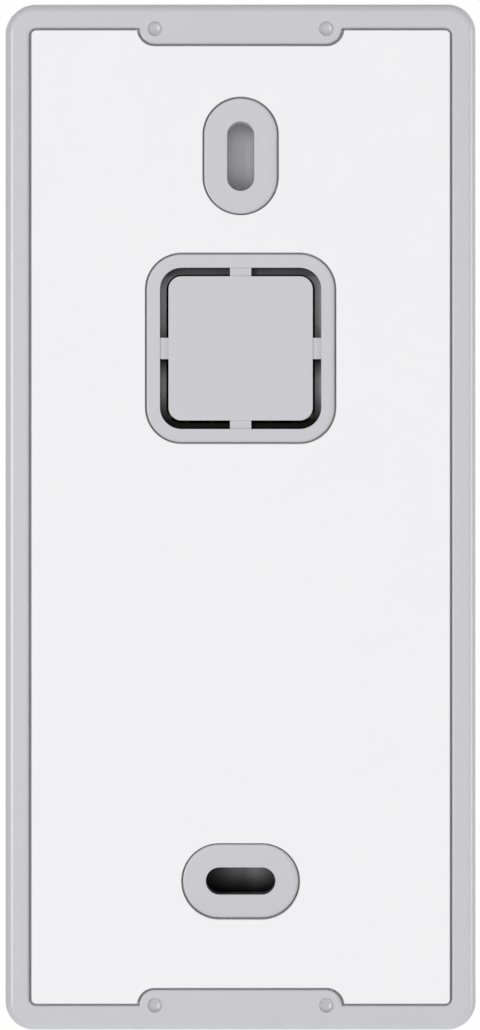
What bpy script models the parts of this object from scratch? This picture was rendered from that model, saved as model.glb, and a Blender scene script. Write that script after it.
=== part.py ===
"""A wall-mounted video doorbell: a mounting plate with its adhesive pad, and the unit that hooks onto it.

Metres, +Z up, the front faces -Y. The origin is the centre of the pad's rear face, which meets the wall.
"""

import math

import bmesh
import bpy
from mathutils import Vector

MM = 0.001
GAP = 0.3 * MM

# Outline and depths. Each depth is a Y level, and the wall is at 0.
WIDTH = 61.1 * MM
HEIGHT = 133.2 * MM
CORNER = 3.7 * MM
LEAST_CORNER = 0.8 * MM
DEPTH = 25.0 * MM
PLATE_REAR = -0.4 * MM
PLATE_THICKNESS = 2.4 * MM
PLATE_FRONT = PLATE_REAR - PLATE_THICKNESS
PLATE_FILLET = 1.15 * MM
RECESS_FLOOR = PLATE_REAR - 0.9 * MM
PAD_FRONT = RECESS_FLOOR + GAP
UNIT_REAR = PLATE_FRONT - GAP
REAR_WALL = 1.8 * MM
REAR_INNER = UNIT_REAR - REAR_WALL
SIDE_WALL = 2.4 * MM
SEAL_STEP = 1.2 * MM
CASE_SPLIT = -12.5 * MM
SEAL_FLOOR = CASE_SPLIT + 1.3 * MM
COVER_REAR = CASE_SPLIT - GAP
COVER_WALL = 2.0 * MM
COVER_FRONT = -DEPTH
COVER_INNER = COVER_FRONT + 3.0 * MM
COVER_FILLET = 2.5 * MM
TONGUE = 0.9 * MM
TONGUE_ROOT = -14.0 * MM
TONGUE_TIP = -11.0 * MM
EDGE = 0.15 * MM

# Pad recess and what stands in it
RECESS_WIDTH = 54.8 * MM
RECESS_HEIGHT = 126.65 * MM
RECESS_CORNER = 0.9 * MM
PAD_GAP = 0.32 * MM
DIMPLE_X = 11.12 * MM
DIMPLE_Z = 63.28 * MM
DIMPLE_RADIUS = 0.93 * MM
TAB_RADIUS = 2.0 * MM
SLOT_WIDTH = 3.5 * MM
SLOT_LENGTH = 9.0 * MM
ISLAND_RIM = 3.0 * MM
UPPER_SLOT_Z = 46.77 * MM
LOWER_SLOT_Z = -47.17 * MM
KNOCK_OUT_Z = 21.86 * MM
KNOCK_OUT_ISLAND = 24.4 * MM
KNOCK_OUT_HOLE = 20.9 * MM
KNOCK_OUT_FAR_HOLE = 19.35 * MM
KNOCK_OUT_LEDGE = -2.0 * MM
KNOCK_OUT_PLUG = 18.7 * MM
KNOCK_OUT_PLUG_CORNER = 1.7 * MM
WEB_WIDTH = 2.76 * MM
WEB_DEPTH = 1.0 * MM
WEB_RECESS = 0.3 * MM

# Hanging the unit: it tilts off the plate about this axis
TILT_Y = -3.0 * MM
TILT_Z = 66.3 * MM
HOOK_WIDTH = 4.4 * MM
HOOK_TOP = 62.7 * MM
HOOK_BOTTOM = 61.4 * MM
HOOK_LIP_TOP = 63.6 * MM
HOOK_LIP_REAR = -5.9 * MM
HOOK_FRONT = -7.3 * MM
SOCKET_TOP = 63.0 * MM
SOCKET_BOTTOM = 59.0 * MM
CLIP_STEEL = 0.5 * MM
CLIP_ARM_Z = -61.1 * MM
CLIP_WELL_FLOOR = -4.5 * MM
CLIP_WALL_INNER = -6.3 * MM
STAKE_X = 4.5 * MM
STAKE_Z = -63.1 * MM
PIN_Y = -7.6 * MM

# Hollows in the rear case. A floor is a Y level.
POCKET_WIDTH = 10.5 * MM
POCKET_LENGTH = 15.5 * MM
UPPER_POCKET_FLOOR = -5.3 * MM
LOWER_POCKET_FLOOR = -11.0 * MM
BAY_SIZE = 26.0 * MM
BAY_CORNER = 2.0 * MM
BAY_FLOOR = -12.0 * MM
HOUSING_WALL = 1.2 * MM
SOCKET_HALF_WIDTH = 2.6 * MM
SOCKET_FLOOR = -8.2 * MM

# Screws, the board and what it holds
CASE_SCREW_X = 25.0 * MM
CASE_SCREW_Z = 60.0 * MM
CASE_SCREW_SEAT = -5.3 * MM
POST_REAR = -8.3 * MM
BOARD_REAR = -13.8 * MM
BOARD_THICKNESS = 1.2 * MM
BOARD_FRONT = BOARD_REAR - BOARD_THICKNESS
ON_BOARD = BOARD_FRONT - GAP
BOARD_WIDTH = 43.0 * MM
BOARD_HEIGHT = 123.0 * MM
BOARD_SCREW_X = 18.5 * MM
BOARD_SCREW_Z = 53.0 * MM
TERMINAL_X = 5.5 * MM
TERMINAL_Z = 14.8 * MM
TERMINAL_FLOOR = -8.1 * MM
TERMINAL_BORE = 1.7 * MM

# The front
CAMERA_Z = 42.0 * MM
LED_X = 15.0 * MM
PANEL_SIZE = 46.0 * MM
PANEL_Z = 36.0 * MM
PANEL_CORNER = 9.0 * MM
PANEL_THICKNESS = 1.3 * MM
PANEL_SEAT = COVER_FRONT + 1.7 * MM
TRIM_FRONT = COVER_FRONT + 0.1 * MM
CAMERA_BORE = 7.6 * MM
PIR_Z = 3.0 * MM
PIR_WIDTH = 24.0 * MM
PIR_HEIGHT = 12.0 * MM
PIR_CORNER = 4.0 * MM
BUTTON_Z = -30.0 * MM
BUTTON_RADIUS = 12.2 * MM
RING_INNER = 12.5 * MM
RING_OUTER = 15.0 * MM
FLANGE = 1.0 * MM
RING_FLANGE = 1.6 * MM
SPEAKER_Z = -55.5 * MM
SPEAKER_SLOTS = 5
SPEAKER_PITCH = 2.6 * MM
SPEAKER_WIDTH = 16.0 * MM
SPEAKER_HEIGHT = 11.0 * MM
SPEAKER_OPENING = 1.3 * MM
GASKET = 0.8 * MM
MIC_X = -13.5 * MM
MIC_Z = -50.0 * MM
PORT_X = 14.5 * MM
PORT_Y = -16.9 * MM
FLAP_REAR = -14.3 * MM
FLAP_FRONT = -19.7 * MM
FLAP_WIDTH = 11.4 * MM
FLAP_THICKNESS = 1.2 * MM
RESET_X = -14.5 * MM

# Smoothness: points on a quarter turn of a corner, and on a full circle
CORNER_STEPS = 4
FILLET_STEPS = 3
FULL_CIRCLE = 24
SMALL_CIRCLE = 10
LARGE_CIRCLE = 36
SMOOTH_ANGLE = math.radians(35)


# Outlines: lists of (u, v) points, anticlockwise


def arc(centre, radius, start, end, steps):
    """Points on an arc, both ends included. Angles are in degrees."""
    turns = [math.radians(start + (end - start) * i / steps) for i in range(steps + 1)]
    return [(centre[0] + radius * math.cos(a), centre[1] + radius * math.sin(a)) for a in turns]


def circle(radius, steps=FULL_CIRCLE, centre=(0, 0)):
    return arc(centre, radius, 0, 360, steps)[:-1]


def rounded(width, height, radius, steps=CORNER_STEPS, centre=(0, 0)):
    """A rectangle with round corners."""
    u, v = width / 2 - radius, height / 2 - radius
    points = []
    for corner, (side_u, side_v) in enumerate(((1, 1), (-1, 1), (-1, -1), (1, -1))):
        middle = (centre[0] + side_u * u, centre[1] + side_v * v)
        points += arc(middle, radius, 90 * corner, 90 * corner + 90, steps)
    return points


def stadium(width, height, grow=0.0, steps=CORNER_STEPS):
    """A slot's outline: straight along its longer side, with half-round ends."""
    radius = min(width, height) / 2 + grow
    u, v = max(width - height, 0) / 2, max(height - width, 0) / 2
    first = -90 if width > height else 0
    ends = arc((u, v), radius, first, first + 180, 2 * steps)
    return ends + arc((-u, -v), radius, first + 180, first + 360, 2 * steps)


def rectangle(low, high):
    return [(high[0], high[1]), (low[0], high[1]), (low[0], low[1]), (high[0], low[1])]


def recess_outline(grow=0.0):
    """The pad recess: a rounded rectangle that a round-ended tab enters at its top and its bottom."""
    u, v = RECESS_WIDTH / 2 - RECESS_CORNER, RECESS_HEIGHT / 2 - RECESS_CORNER
    corner, tab = RECESS_CORNER + grow, TAB_RADIUS - grow
    lean = math.degrees(math.asin((RECESS_HEIGHT / 2 + grow - DIMPLE_Z) / tab))
    points = arc((u, v), corner, 0, 90, CORNER_STEPS)
    points += arc((DIMPLE_X, DIMPLE_Z), tab, lean, -90, CORNER_STEPS)
    points += arc((-DIMPLE_X, DIMPLE_Z), tab, 270, 180 - lean, CORNER_STEPS)
    points += arc((-u, v), corner, 90, 180, CORNER_STEPS)
    points += arc((-u, -v), corner, 180, 270, CORNER_STEPS)
    points += arc((-DIMPLE_X, -DIMPLE_Z), tab, 180 + lean, 90, CORNER_STEPS)
    points += arc((DIMPLE_X, -DIMPLE_Z), tab, 90, -lean, CORNER_STEPS)
    return points + arc((u, -v), corner, 270, 360, CORNER_STEPS)


# Solids: a loft joins outlines of equal length, each at its own level along an axis

AXES = {
    "X": lambda u, v, level: (level, u, v),
    "Y": lambda u, v, level: (u, level, v),
    "Z": lambda u, v, level: (u, v, level),
}


def add_loft(shape, sections, axis="Y", at=(0, 0), ring=False):
    """Adds one closed body to shape. A ring has no end caps: its last outline joins its first."""
    place = AXES[axis]
    loops = [
        [shape.verts.new(place(u + at[0], v + at[1], level)) for u, v in outline]
        for outline, level in sections
    ]
    pairs = list(zip(loops, loops[1:]))
    if ring:
        pairs.append((loops[-1], loops[0]))
    for near, far in pairs:
        for i in range(len(near)):
            j = (i + 1) % len(near)
            shape.faces.new((near[i], near[j], far[j], far[i]))
    if not ring:
        shape.faces.new(loops[0])
        shape.faces.new(loops[-1])


def prism(outline, start, end):
    return [(outline, start), (outline, end)]


def turned(profile, steps=FULL_CIRCLE):
    """Sections of a turned piece, from (radius, level) pairs."""
    return [(circle(radius, steps), level) for radius, level in profile]


def fillet(outline_at, radius, front, rear):
    """Sections whose edge at the front level is rounded. outline_at(inset) gives the outline."""
    side = 1 if rear > front else -1
    sections = [(outline_at(0), rear)]
    for i in range(FILLET_STEPS + 1):
        angle = math.radians(90 * i / FILLET_STEPS)
        level = front + side * radius * (1 - math.sin(angle))
        sections.append((outline_at(radius * (1 - math.cos(angle))), level))
    return sections


def material(name, colour, roughness, metallic=0.0, transmission=0.0):
    """A Principled material, made once for each name."""
    if name in bpy.data.materials:
        return bpy.data.materials[name]
    made = bpy.data.materials.new(name)
    made.use_nodes = True
    made.diffuse_color = (*colour, 1)
    shader = made.node_tree.nodes["Principled BSDF"]
    shader.inputs["Base Color"].default_value = (*colour, 1)
    shader.inputs["Roughness"].default_value = roughness
    shader.inputs["Metallic"].default_value = metallic
    shader.inputs["Transmission Weight"].default_value = transmission
    return made


def light_plastic():
    return material("light_plastic", (0.6, 0.6, 0.63), 0.5)


def black_plastic():
    return material("black_plastic", (0.03, 0.03, 0.032), 0.45)


def rubber():
    return material("rubber", (0.05, 0.05, 0.05), 0.8)


def steel():
    return material("steel", (0.6, 0.6, 0.6), 0.3, metallic=1.0)


def brass():
    return material("brass", (0.78, 0.6, 0.3), 0.3, metallic=1.0)


def clear_glass():
    return material("clear_glass", (0.9, 0.93, 0.95), 0.05, transmission=0.9)


def solid(name, lofts, finish=None, origin=(0, 0, 0)):
    """An object from lofts given in world coordinates: each is add_loft's arguments after the shape."""
    shape = bmesh.new()
    for loft in lofts:
        add_loft(shape, **loft)
    bmesh.ops.recalc_face_normals(shape, faces=shape.faces)
    bmesh.ops.translate(shape, verts=shape.verts, vec=-Vector(origin))
    mesh = bpy.data.meshes.new(name)
    shape.to_mesh(mesh)
    shape.free()
    mesh.shade_smooth()
    mesh.set_sharp_from_angle(angle=SMOOTH_ANGLE)
    made = bpy.data.objects.new(name, mesh)
    made.location = origin
    bpy.context.collection.objects.link(made)
    if finish:
        mesh.materials.append(finish)
    return made


def shaped(target, operation, name, lofts):
    """Cuts lofts from a solid (DIFFERENCE), or joins them to it (UNION)."""
    tool = solid(name, lofts)
    tool.hide_render = True
    tool.display_type = "WIRE"
    modifier = target.modifiers.new(name, "BOOLEAN")
    modifier.operation = operation
    modifier.object = tool
    modifier.solver = "EXACT"
    modifier.use_self = True


def pivot(name, origin):
    """An empty on a joint's axis."""
    made = bpy.data.objects.new(name, None)
    made.location = origin
    made.empty_display_size = 5 * MM
    bpy.context.collection.objects.link(made)
    return made


def carry(parent, children):
    """Parents children to an empty without moving them."""
    bpy.context.view_layer.update()
    for child in children:
        child.parent = parent
        child.matrix_parent_inverse = parent.matrix_world.inverted()


def sides():
    return (("left", -1), ("right", 1))


def corners():
    """Names and signs of the four corners."""
    for height, up in (("top", 1), ("bottom", -1)):
        for side, right in sides():
            yield f"{height}_{side}", right, up


# Wall side


def body_outline(inset=0.0):
    corner = max(CORNER - inset, LEAST_CORNER)
    return rounded(WIDTH - 2 * inset, HEIGHT - 2 * inset, corner)


def through(outline_at, depth=PLATE_FRONT - 1 * MM):
    """A cutter through the plate's rear face, with a small chamfer at its mouth."""
    return [
        (outline_at(EDGE), PLATE_REAR + 1 * MM),
        (outline_at(EDGE), PLATE_REAR),
        (outline_at(0), PLATE_REAR - EDGE),
        (outline_at(0), depth),
    ]


def island(outline_at):
    """A raised area on the recess floor, as high as the plate's rim."""
    return [
        (outline_at(-EDGE), PLATE_REAR),
        (outline_at(0), PLATE_REAR - EDGE),
        (outline_at(0), RECESS_FLOOR - 0.2 * MM),
    ]


def screw_slots():
    """Width, height and centre height of the two screw slots."""
    return ((SLOT_WIDTH, SLOT_LENGTH, UPPER_SLOT_Z), (SLOT_LENGTH, SLOT_WIDTH, LOWER_SLOT_Z))


def knock_out_square(size, corner, grow=0.0):
    return rounded(size + 2 * grow, size + 2 * grow, corner + grow)


def island_corner(grow=0.0):
    """The knock-out's corners share their centres with the plug's."""
    return KNOCK_OUT_PLUG_CORNER + (KNOCK_OUT_ISLAND - KNOCK_OUT_PLUG) / 2 + grow


def make_plate():
    plate = solid("mounting_plate", [{"sections": plate_sections()}], light_plastic())
    shaped(plate, "DIFFERENCE", "plate_recess", [{"sections": through(recess_outline, RECESS_FLOOR)}])
    raised = []
    for width, height, z in screw_slots():
        def rim(grow, width=width, height=height):
            return stadium(width, height, ISLAND_RIM + grow)
        raised.append({"sections": island(rim), "at": (0, z)})
    raised.append({
        "sections": island(lambda grow: knock_out_square(KNOCK_OUT_ISLAND, island_corner(), grow)),
        "at": (0, KNOCK_OUT_Z),
    })
    shaped(plate, "UNION", "plate_islands", raised)
    holes = []
    for width, height, z in screw_slots():
        def slot(grow, width=width, height=height):
            return stadium(width, height, grow)
        holes.append({"sections": through(slot), "at": (0, z)})
    holes.append({"sections": slit_sections(), "at": (0, KNOCK_OUT_Z), "ring": True})
    for _, right, up in corners():
        holes.append({"sections": dimple_sections(), "at": (right * DIMPLE_X, up * DIMPLE_Z)})
    shaped(plate, "DIFFERENCE", "plate_holes", holes)
    shaped(plate, "UNION", "plate_webs", web_lofts())
    shaped(plate, "UNION", "plate_hooks", hook_lofts() + stake_lofts())
    return plate


def plate_sections():
    """The slab, with a round rear edge and a small front chamfer."""
    rounded_rear = fillet(body_outline, PLATE_FILLET, PLATE_REAR, PLATE_FRONT + EDGE)
    return [(body_outline(EDGE), PLATE_FRONT)] + rounded_rear


def slit_sections():
    """The slit round the knock-out plug: a ledge narrows it near the plate's front."""
    corner = KNOCK_OUT_PLUG_CORNER
    hole = corner + (KNOCK_OUT_HOLE - KNOCK_OUT_PLUG) / 2
    far_hole = corner + (KNOCK_OUT_FAR_HOLE - KNOCK_OUT_PLUG) / 2
    return [
        (knock_out_square(KNOCK_OUT_HOLE, hole, EDGE), PLATE_REAR + 1 * MM),
        (knock_out_square(KNOCK_OUT_HOLE, hole, EDGE), PLATE_REAR),
        (knock_out_square(KNOCK_OUT_HOLE, hole), PLATE_REAR - EDGE),
        (knock_out_square(KNOCK_OUT_HOLE, hole), KNOCK_OUT_LEDGE),
        (knock_out_square(KNOCK_OUT_FAR_HOLE, far_hole), KNOCK_OUT_LEDGE),
        (knock_out_square(KNOCK_OUT_FAR_HOLE, far_hole), PLATE_FRONT - 1 * MM),
        (knock_out_square(KNOCK_OUT_PLUG, corner), PLATE_FRONT - 1 * MM),
        (knock_out_square(KNOCK_OUT_PLUG, corner), PLATE_REAR - EDGE),
        (knock_out_square(KNOCK_OUT_PLUG, corner, -EDGE), PLATE_REAR),
        (knock_out_square(KNOCK_OUT_PLUG, corner, -EDGE), PLATE_REAR + 1 * MM),
    ]


def dimple_sections():
    depths = ((1.08, 0.2), (1.0, -0.1), (0.97, -0.5), (0.8, -0.68), (0.45, -0.76))
    return turned([(DIMPLE_RADIUS * size, PLATE_REAR + depth * MM) for size, depth in depths], 20)


def web_lofts():
    """Four thin webs that hold the knock-out plug."""
    inner, outer = KNOCK_OUT_PLUG / 2 - 0.2 * MM, KNOCK_OUT_HOLE / 2 + 0.2 * MM
    top = PLATE_REAR - WEB_RECESS
    lofts = []
    for side in (-1, 1):
        near, far = sorted((side * inner, side * outer))
        across = rectangle((near, -WEB_WIDTH / 2), (far, WEB_WIDTH / 2))
        upright = rectangle((-WEB_WIDTH / 2, near), (WEB_WIDTH / 2, far))
        for outline in (across, upright):
            lofts.append({"sections": prism(outline, top, top - WEB_DEPTH), "at": (0, KNOCK_OUT_Z)})
    return lofts


def hook_lofts():
    """Two hooks on the plate's front, each with a lip that points up."""
    profile = [
        (PLATE_FRONT + 0.5 * MM, HOOK_TOP),
        (PLATE_FRONT + 0.5 * MM, HOOK_BOTTOM),
        (HOOK_FRONT, HOOK_BOTTOM),
        (HOOK_FRONT, HOOK_LIP_TOP),
        (HOOK_LIP_REAR, HOOK_LIP_TOP),
        (HOOK_LIP_REAR, HOOK_TOP),
    ]
    return [
        {"sections": prism(profile, x - HOOK_WIDTH / 2, x + HOOK_WIDTH / 2), "axis": "X"}
        for x in (-DIMPLE_X, DIMPLE_X)
    ]


def stake_lofts():
    """Heat stakes that hold the snap clip."""
    front = PLATE_FRONT - GAP - CLIP_STEEL - GAP
    profile = ((0.7 * MM, PLATE_FRONT + 0.5 * MM), (0.7 * MM, front), (1.3 * MM, front))
    headed = turned(profile + ((1.1 * MM, front - 0.3 * MM),), SMALL_CIRCLE)
    return [{"sections": headed, "at": (x, STAKE_Z)} for x in (-STAKE_X, STAKE_X)]


def make_pad():
    """The foam pad fills the recess round the islands."""
    rear = [(recess_outline(-PAD_GAP), PAD_FRONT), (recess_outline(-PAD_GAP), 0)]
    pad = solid("adhesive_pad", [{"sections": rear}], material("pad_foam", (0.85, 0.85, 0.85), 0.9))
    low, high = PAD_FRONT - 1 * MM, 1 * MM
    holes = []
    for width, height, z in screw_slots():
        outline = stadium(width, height, ISLAND_RIM + PAD_GAP)
        holes.append({"sections": prism(outline, low, high), "at": (0, z)})
    square = knock_out_square(KNOCK_OUT_ISLAND, island_corner(), PAD_GAP)
    holes.append({"sections": prism(square, low, high), "at": (0, KNOCK_OUT_Z)})
    shaped(pad, "DIFFERENCE", "pad_holes", holes)
    return pad


def make_snap_clip():
    """A steel clip: a base staked to the plate, and an arm with a barb that catches the unit's rear wall."""
    base_rear = PLATE_FRONT - GAP
    base_front = base_rear - CLIP_STEEL
    outline = rounded(14 * MM, 5.8 * MM, 1 * MM, 4, (0, -61.8 * MM))
    clip = solid("snap_clip", [{"sections": prism(outline, base_rear, base_front)}], steel())
    under = CLIP_ARM_Z - CLIP_STEEL
    barb_rear, barb_tip = CLIP_WALL_INNER - GAP, -8.6 * MM
    profile = [
        (base_front + 0.2 * MM, CLIP_ARM_Z),
        (base_front + 0.2 * MM, under),
        (barb_rear, under),
        (barb_rear, under - 1.5 * MM),
        (barb_rear - 0.3 * MM, under - 1.5 * MM),
        (barb_tip, under),
        (barb_tip, CLIP_ARM_Z),
    ]
    shaped(clip, "UNION", "clip_arm", [{"sections": prism(profile, -3 * MM, 3 * MM), "axis": "X"}])
    hole = prism(circle(1.0 * MM, SMALL_CIRCLE), base_front - 1 * MM, base_rear + 1 * MM)
    holes = [{"sections": hole, "at": (x, STAKE_Z)} for x in (-STAKE_X, STAKE_X)]
    shaped(clip, "DIFFERENCE", "clip_holes", holes)
    return clip


# Case


def make_rear_case():
    """The tub. Its floor carries hook sockets, screw-head pockets and the wiring bay."""
    case = solid("rear_case", [{"sections": rear_case_sections()}], light_plastic())
    shaped(case, "UNION", "case_housings", case_housings())
    shaped(case, "DIFFERENCE", "case_hollows", case_hollows())
    return case


def rear_case_sections():
    return [
        (body_outline(SIDE_WALL), REAR_INNER),
        (body_outline(SIDE_WALL), SEAL_FLOOR),
        (body_outline(SEAL_STEP), SEAL_FLOOR),
        (body_outline(SEAL_STEP), CASE_SPLIT),
        (body_outline(), CASE_SPLIT),
        (body_outline(), UNIT_REAR - 2 * EDGE),
        (body_outline(2 * EDGE), UNIT_REAR),
    ]


def case_housings():
    """Walls round each hollow, inside the tub."""
    start = REAR_INNER + REAR_WALL / 2
    bay_size = BAY_SIZE + 2 * HOUSING_WALL
    bay = rounded(bay_size, bay_size, BAY_CORNER + 1 * MM)
    upper = stadium(POCKET_WIDTH, POCKET_LENGTH, HOUSING_WALL)
    lower = stadium(POCKET_LENGTH, POCKET_WIDTH, HOUSING_WALL)
    lofts = [
        {"sections": prism(bay, start, BAY_FLOOR - HOUSING_WALL), "at": (0, KNOCK_OUT_Z)},
        {"sections": prism(upper, start, UPPER_POCKET_FLOOR - HOUSING_WALL), "at": (0, UPPER_SLOT_Z)},
        {"sections": prism(lower, start, LOWER_POCKET_FLOOR - HOUSING_WALL), "at": (0, LOWER_SLOT_Z)},
    ]
    for x in (-DIMPLE_X, DIMPLE_X):
        half = SOCKET_HALF_WIDTH + HOUSING_WALL
        wall = rectangle((x - half, SOCKET_BOTTOM - HOUSING_WALL), (x + half, 65.4 * MM))
        lofts.append({"sections": prism(wall, start, SOCKET_FLOOR - HOUSING_WALL)})
    for _, right, up in corners():
        boss = prism(circle(3.4 * MM, 16), start, -8.0 * MM)
        lofts.append({"sections": boss, "at": (right * CASE_SCREW_X, up * CASE_SCREW_Z)})
    clip_wall = rectangle((-9.5 * MM, -65.5 * MM), (9.5 * MM, -56.8 * MM))
    lofts.append({"sections": prism(clip_wall, start, CLIP_WALL_INNER)})
    catch = rectangle((-4.8 * MM, -65.5 * MM), (4.8 * MM, -59.3 * MM))
    lofts.append({"sections": prism(catch, start, -10.2 * MM)})
    return lofts


def case_hollows():
    """The hollows, cut from the rear face."""
    start = UNIT_REAR + 1 * MM
    bay = rounded(BAY_SIZE, BAY_SIZE, BAY_CORNER)
    upper = stadium(POCKET_WIDTH, POCKET_LENGTH)
    lower = stadium(POCKET_LENGTH, POCKET_WIDTH)
    lofts = [
        {"sections": prism(bay, start, BAY_FLOOR), "at": (0, KNOCK_OUT_Z)},
        {"sections": prism(upper, start, UPPER_POCKET_FLOOR), "at": (0, UPPER_SLOT_Z)},
        {"sections": prism(lower, start, LOWER_POCKET_FLOOR), "at": (0, LOWER_SLOT_Z)},
    ]
    for x in (-DIMPLE_X, DIMPLE_X):
        left, right = x - SOCKET_HALF_WIDTH, x + SOCKET_HALF_WIDTH
        mouth = rectangle((left, SOCKET_BOTTOM), (right, SOCKET_TOP))
        room = rectangle((left, SOCKET_BOTTOM), (right, HOOK_LIP_TOP + 0.4 * MM))
        lofts.append({"sections": prism(mouth, start, REAR_INNER - 0.5 * MM)})
        lofts.append({"sections": prism(room, REAR_INNER, SOCKET_FLOOR)})
    head, bore = 2.5 * MM, 1.2 * MM
    end = POST_REAR - 0.7 * MM
    stepped = ((head, start), (head, CASE_SCREW_SEAT), (bore, CASE_SCREW_SEAT), (bore, end))
    for _, right, up in corners():
        step = turned(stepped, 12)
        lofts.append({"sections": step, "at": (right * CASE_SCREW_X, up * CASE_SCREW_Z)})
    well = rectangle((-8.0 * MM, -65.2 * MM), (8.0 * MM, -58.2 * MM))
    lofts.append({"sections": prism(well, start, CLIP_WELL_FLOOR)})
    mouth = rectangle((-3.6 * MM, -62.3 * MM), (3.6 * MM, -60.5 * MM))
    lofts.append({"sections": prism(mouth, start, CLIP_WALL_INNER - 0.5 * MM)})
    room = rectangle((-3.6 * MM, -63.9 * MM), (3.6 * MM, -60.5 * MM))
    lofts.append({"sections": prism(room, CLIP_WALL_INNER, -9.0 * MM)})
    pin_hole = prism(circle(0.8 * MM, SMALL_CIRCLE), -HEIGHT / 2 - 1 * MM, -63.0 * MM)
    lofts.append({"sections": pin_hole, "axis": "Z", "at": (0, PIN_Y)})
    return lofts


def make_case_seal():
    outer, inner = SEAL_STEP + EDGE, SIDE_WALL - EDGE
    rear, front = SEAL_FLOOR - GAP, CASE_SPLIT
    sections = [
        (body_outline(outer), rear),
        (body_outline(outer), front),
        (body_outline(inner), front),
        (body_outline(inner), rear),
    ]
    return solid("case_seal", [{"sections": sections, "ring": True}], rubber())


def make_front_cover():
    cover = solid("front_cover", [{"sections": front_cover_sections()}], light_plastic())
    shaped(cover, "UNION", "cover_posts", cover_posts())
    shaped(cover, "DIFFERENCE", "cover_cuts", cover_cuts())
    shaped(cover, "DIFFERENCE", "cover_bores", cover_bores())
    return cover


def front_cover_sections():
    """The shell, with a tongue behind its rim that reaches into the rear case."""
    outside = fillet(body_outline, COVER_FILLET, COVER_FRONT, COVER_REAR)
    inside = [
        (body_outline(COVER_WALL), COVER_INNER),
        (body_outline(COVER_WALL), TONGUE_ROOT),
        (body_outline(SIDE_WALL + GAP + TONGUE), TONGUE_ROOT),
        (body_outline(SIDE_WALL + GAP + TONGUE), TONGUE_TIP),
        (body_outline(SIDE_WALL + GAP), TONGUE_TIP),
        (body_outline(SIDE_WALL + GAP), COVER_REAR),
    ]
    return inside + outside


def cover_posts():
    """Posts for the case screws and for the board screws."""
    front = COVER_INNER - 1 * MM
    lofts = []
    for _, right, up in corners():
        long_post = prism(circle(2.8 * MM, 12), POST_REAR, front)
        lofts.append({"sections": long_post, "at": (right * CASE_SCREW_X, up * CASE_SCREW_Z)})
        short_post = prism(circle(2.2 * MM, 12), ON_BOARD, front)
        lofts.append({"sections": short_post, "at": (right * BOARD_SCREW_X, up * BOARD_SCREW_Z)})
    return lofts


def cover_cuts():
    """Recess, windows and sound holes in the front wall, and the port and reset holes in the lower wall."""
    front, inner = COVER_FRONT - 1 * MM, COVER_INNER + 0.5 * MM
    seat = rounded(PANEL_SIZE + 2 * GAP, PANEL_SIZE + 2 * GAP, PANEL_CORNER + GAP)
    window = rounded(PIR_WIDTH + 2 * GAP, PIR_HEIGHT + 2 * GAP, PIR_CORNER + GAP)
    lofts = [
        {"sections": prism(seat, front, PANEL_SEAT), "at": (0, PANEL_Z)},
        {"sections": prism(circle(CAMERA_BORE), front, inner), "at": (0, CAMERA_Z)},
        {"sections": prism(window, front, inner), "at": (0, PIR_Z)},
        {"sections": prism(circle(RING_OUTER + GAP, LARGE_CIRCLE), front, inner), "at": (0, BUTTON_Z)},
        {"sections": prism(circle(0.6 * MM, 12), front, inner), "at": (MIC_X, MIC_Z)},
    ]
    lamp_hole = prism(circle(2.9 * MM, 20), front, inner)
    for _, side in sides():
        lofts.append({"sections": lamp_hole, "at": (side * LED_X, CAMERA_Z)})
    for i in range(SPEAKER_SLOTS):
        x = (i - (SPEAKER_SLOTS - 1) / 2) * SPEAKER_PITCH
        slot = stadium(1.2 * MM, 7 * MM, 0, 3)
        lofts.append({"sections": prism(slot, front, inner), "at": (x, SPEAKER_Z)})
    return lofts


def cover_bores():
    """Pilot bores in the posts, and the openings in the lower wall."""
    lofts = []
    for _, right, up in corners():
        long_bore = prism(circle(1.1 * MM, SMALL_CIRCLE), -7 * MM, -17 * MM)
        lofts.append({"sections": long_bore, "at": (right * CASE_SCREW_X, up * CASE_SCREW_Z)})
        short_bore = prism(circle(1.0 * MM, SMALL_CIRCLE), -14 * MM, -20 * MM)
        lofts.append({"sections": short_bore, "at": (right * BOARD_SCREW_X, up * BOARD_SCREW_Z)})
    under, inside = -HEIGHT / 2 - 1 * MM, -HEIGHT / 2 + COVER_WALL + 1 * MM
    middle = (FLAP_REAR + FLAP_FRONT) / 2
    depth = FLAP_REAR - FLAP_FRONT
    seat = rounded(FLAP_WIDTH + 2 * GAP, depth + 2 * GAP, 1.5 * MM)
    lofts.append({
        "sections": prism(seat, under, -HEIGHT / 2 + FLAP_THICKNESS + GAP),
        "axis": "Z",
        "at": (PORT_X, middle),
    })
    mouth = stadium(9.6 * MM, 3.8 * MM)
    lofts.append({"sections": prism(mouth, under, inside), "axis": "Z", "at": (PORT_X, PORT_Y)})
    reset = circle(1.9 * MM, SMALL_CIRCLE)
    lofts.append({"sections": prism(reset, under, inside), "axis": "Z", "at": (RESET_X, PORT_Y)})
    return lofts


def make_screw(name, x, z, head_rear, head_radius, head_height, shaft_radius, length):
    """A pan-head screw that points forward, with a cross recess."""
    head_front = head_rear - head_height
    profile = (
        (head_radius * 0.7, head_rear),
        (head_radius, head_rear - head_height * 0.45),
        (head_radius, head_front),
        (shaft_radius, head_front),
        (shaft_radius, head_front - length),
    )
    screw = solid(name, [{"sections": turned(profile, SMALL_CIRCLE), "at": (x, z)}], steel(), (x, 0, z))
    arm, half = head_radius * 0.55, head_radius * 0.12
    plus = [
        (arm, half), (half, half), (half, arm), (-half, arm), (-half, half), (-arm, half),
        (-arm, -half), (-half, -half), (-half, -arm), (half, -arm), (half, -half), (arm, -half),
    ]
    recess = prism(plus, head_rear + 1 * MM, head_rear - head_height * 0.5)
    shaped(screw, "DIFFERENCE", f"{name}_recess", [{"sections": recess, "at": (x, z)}])
    return screw


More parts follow.
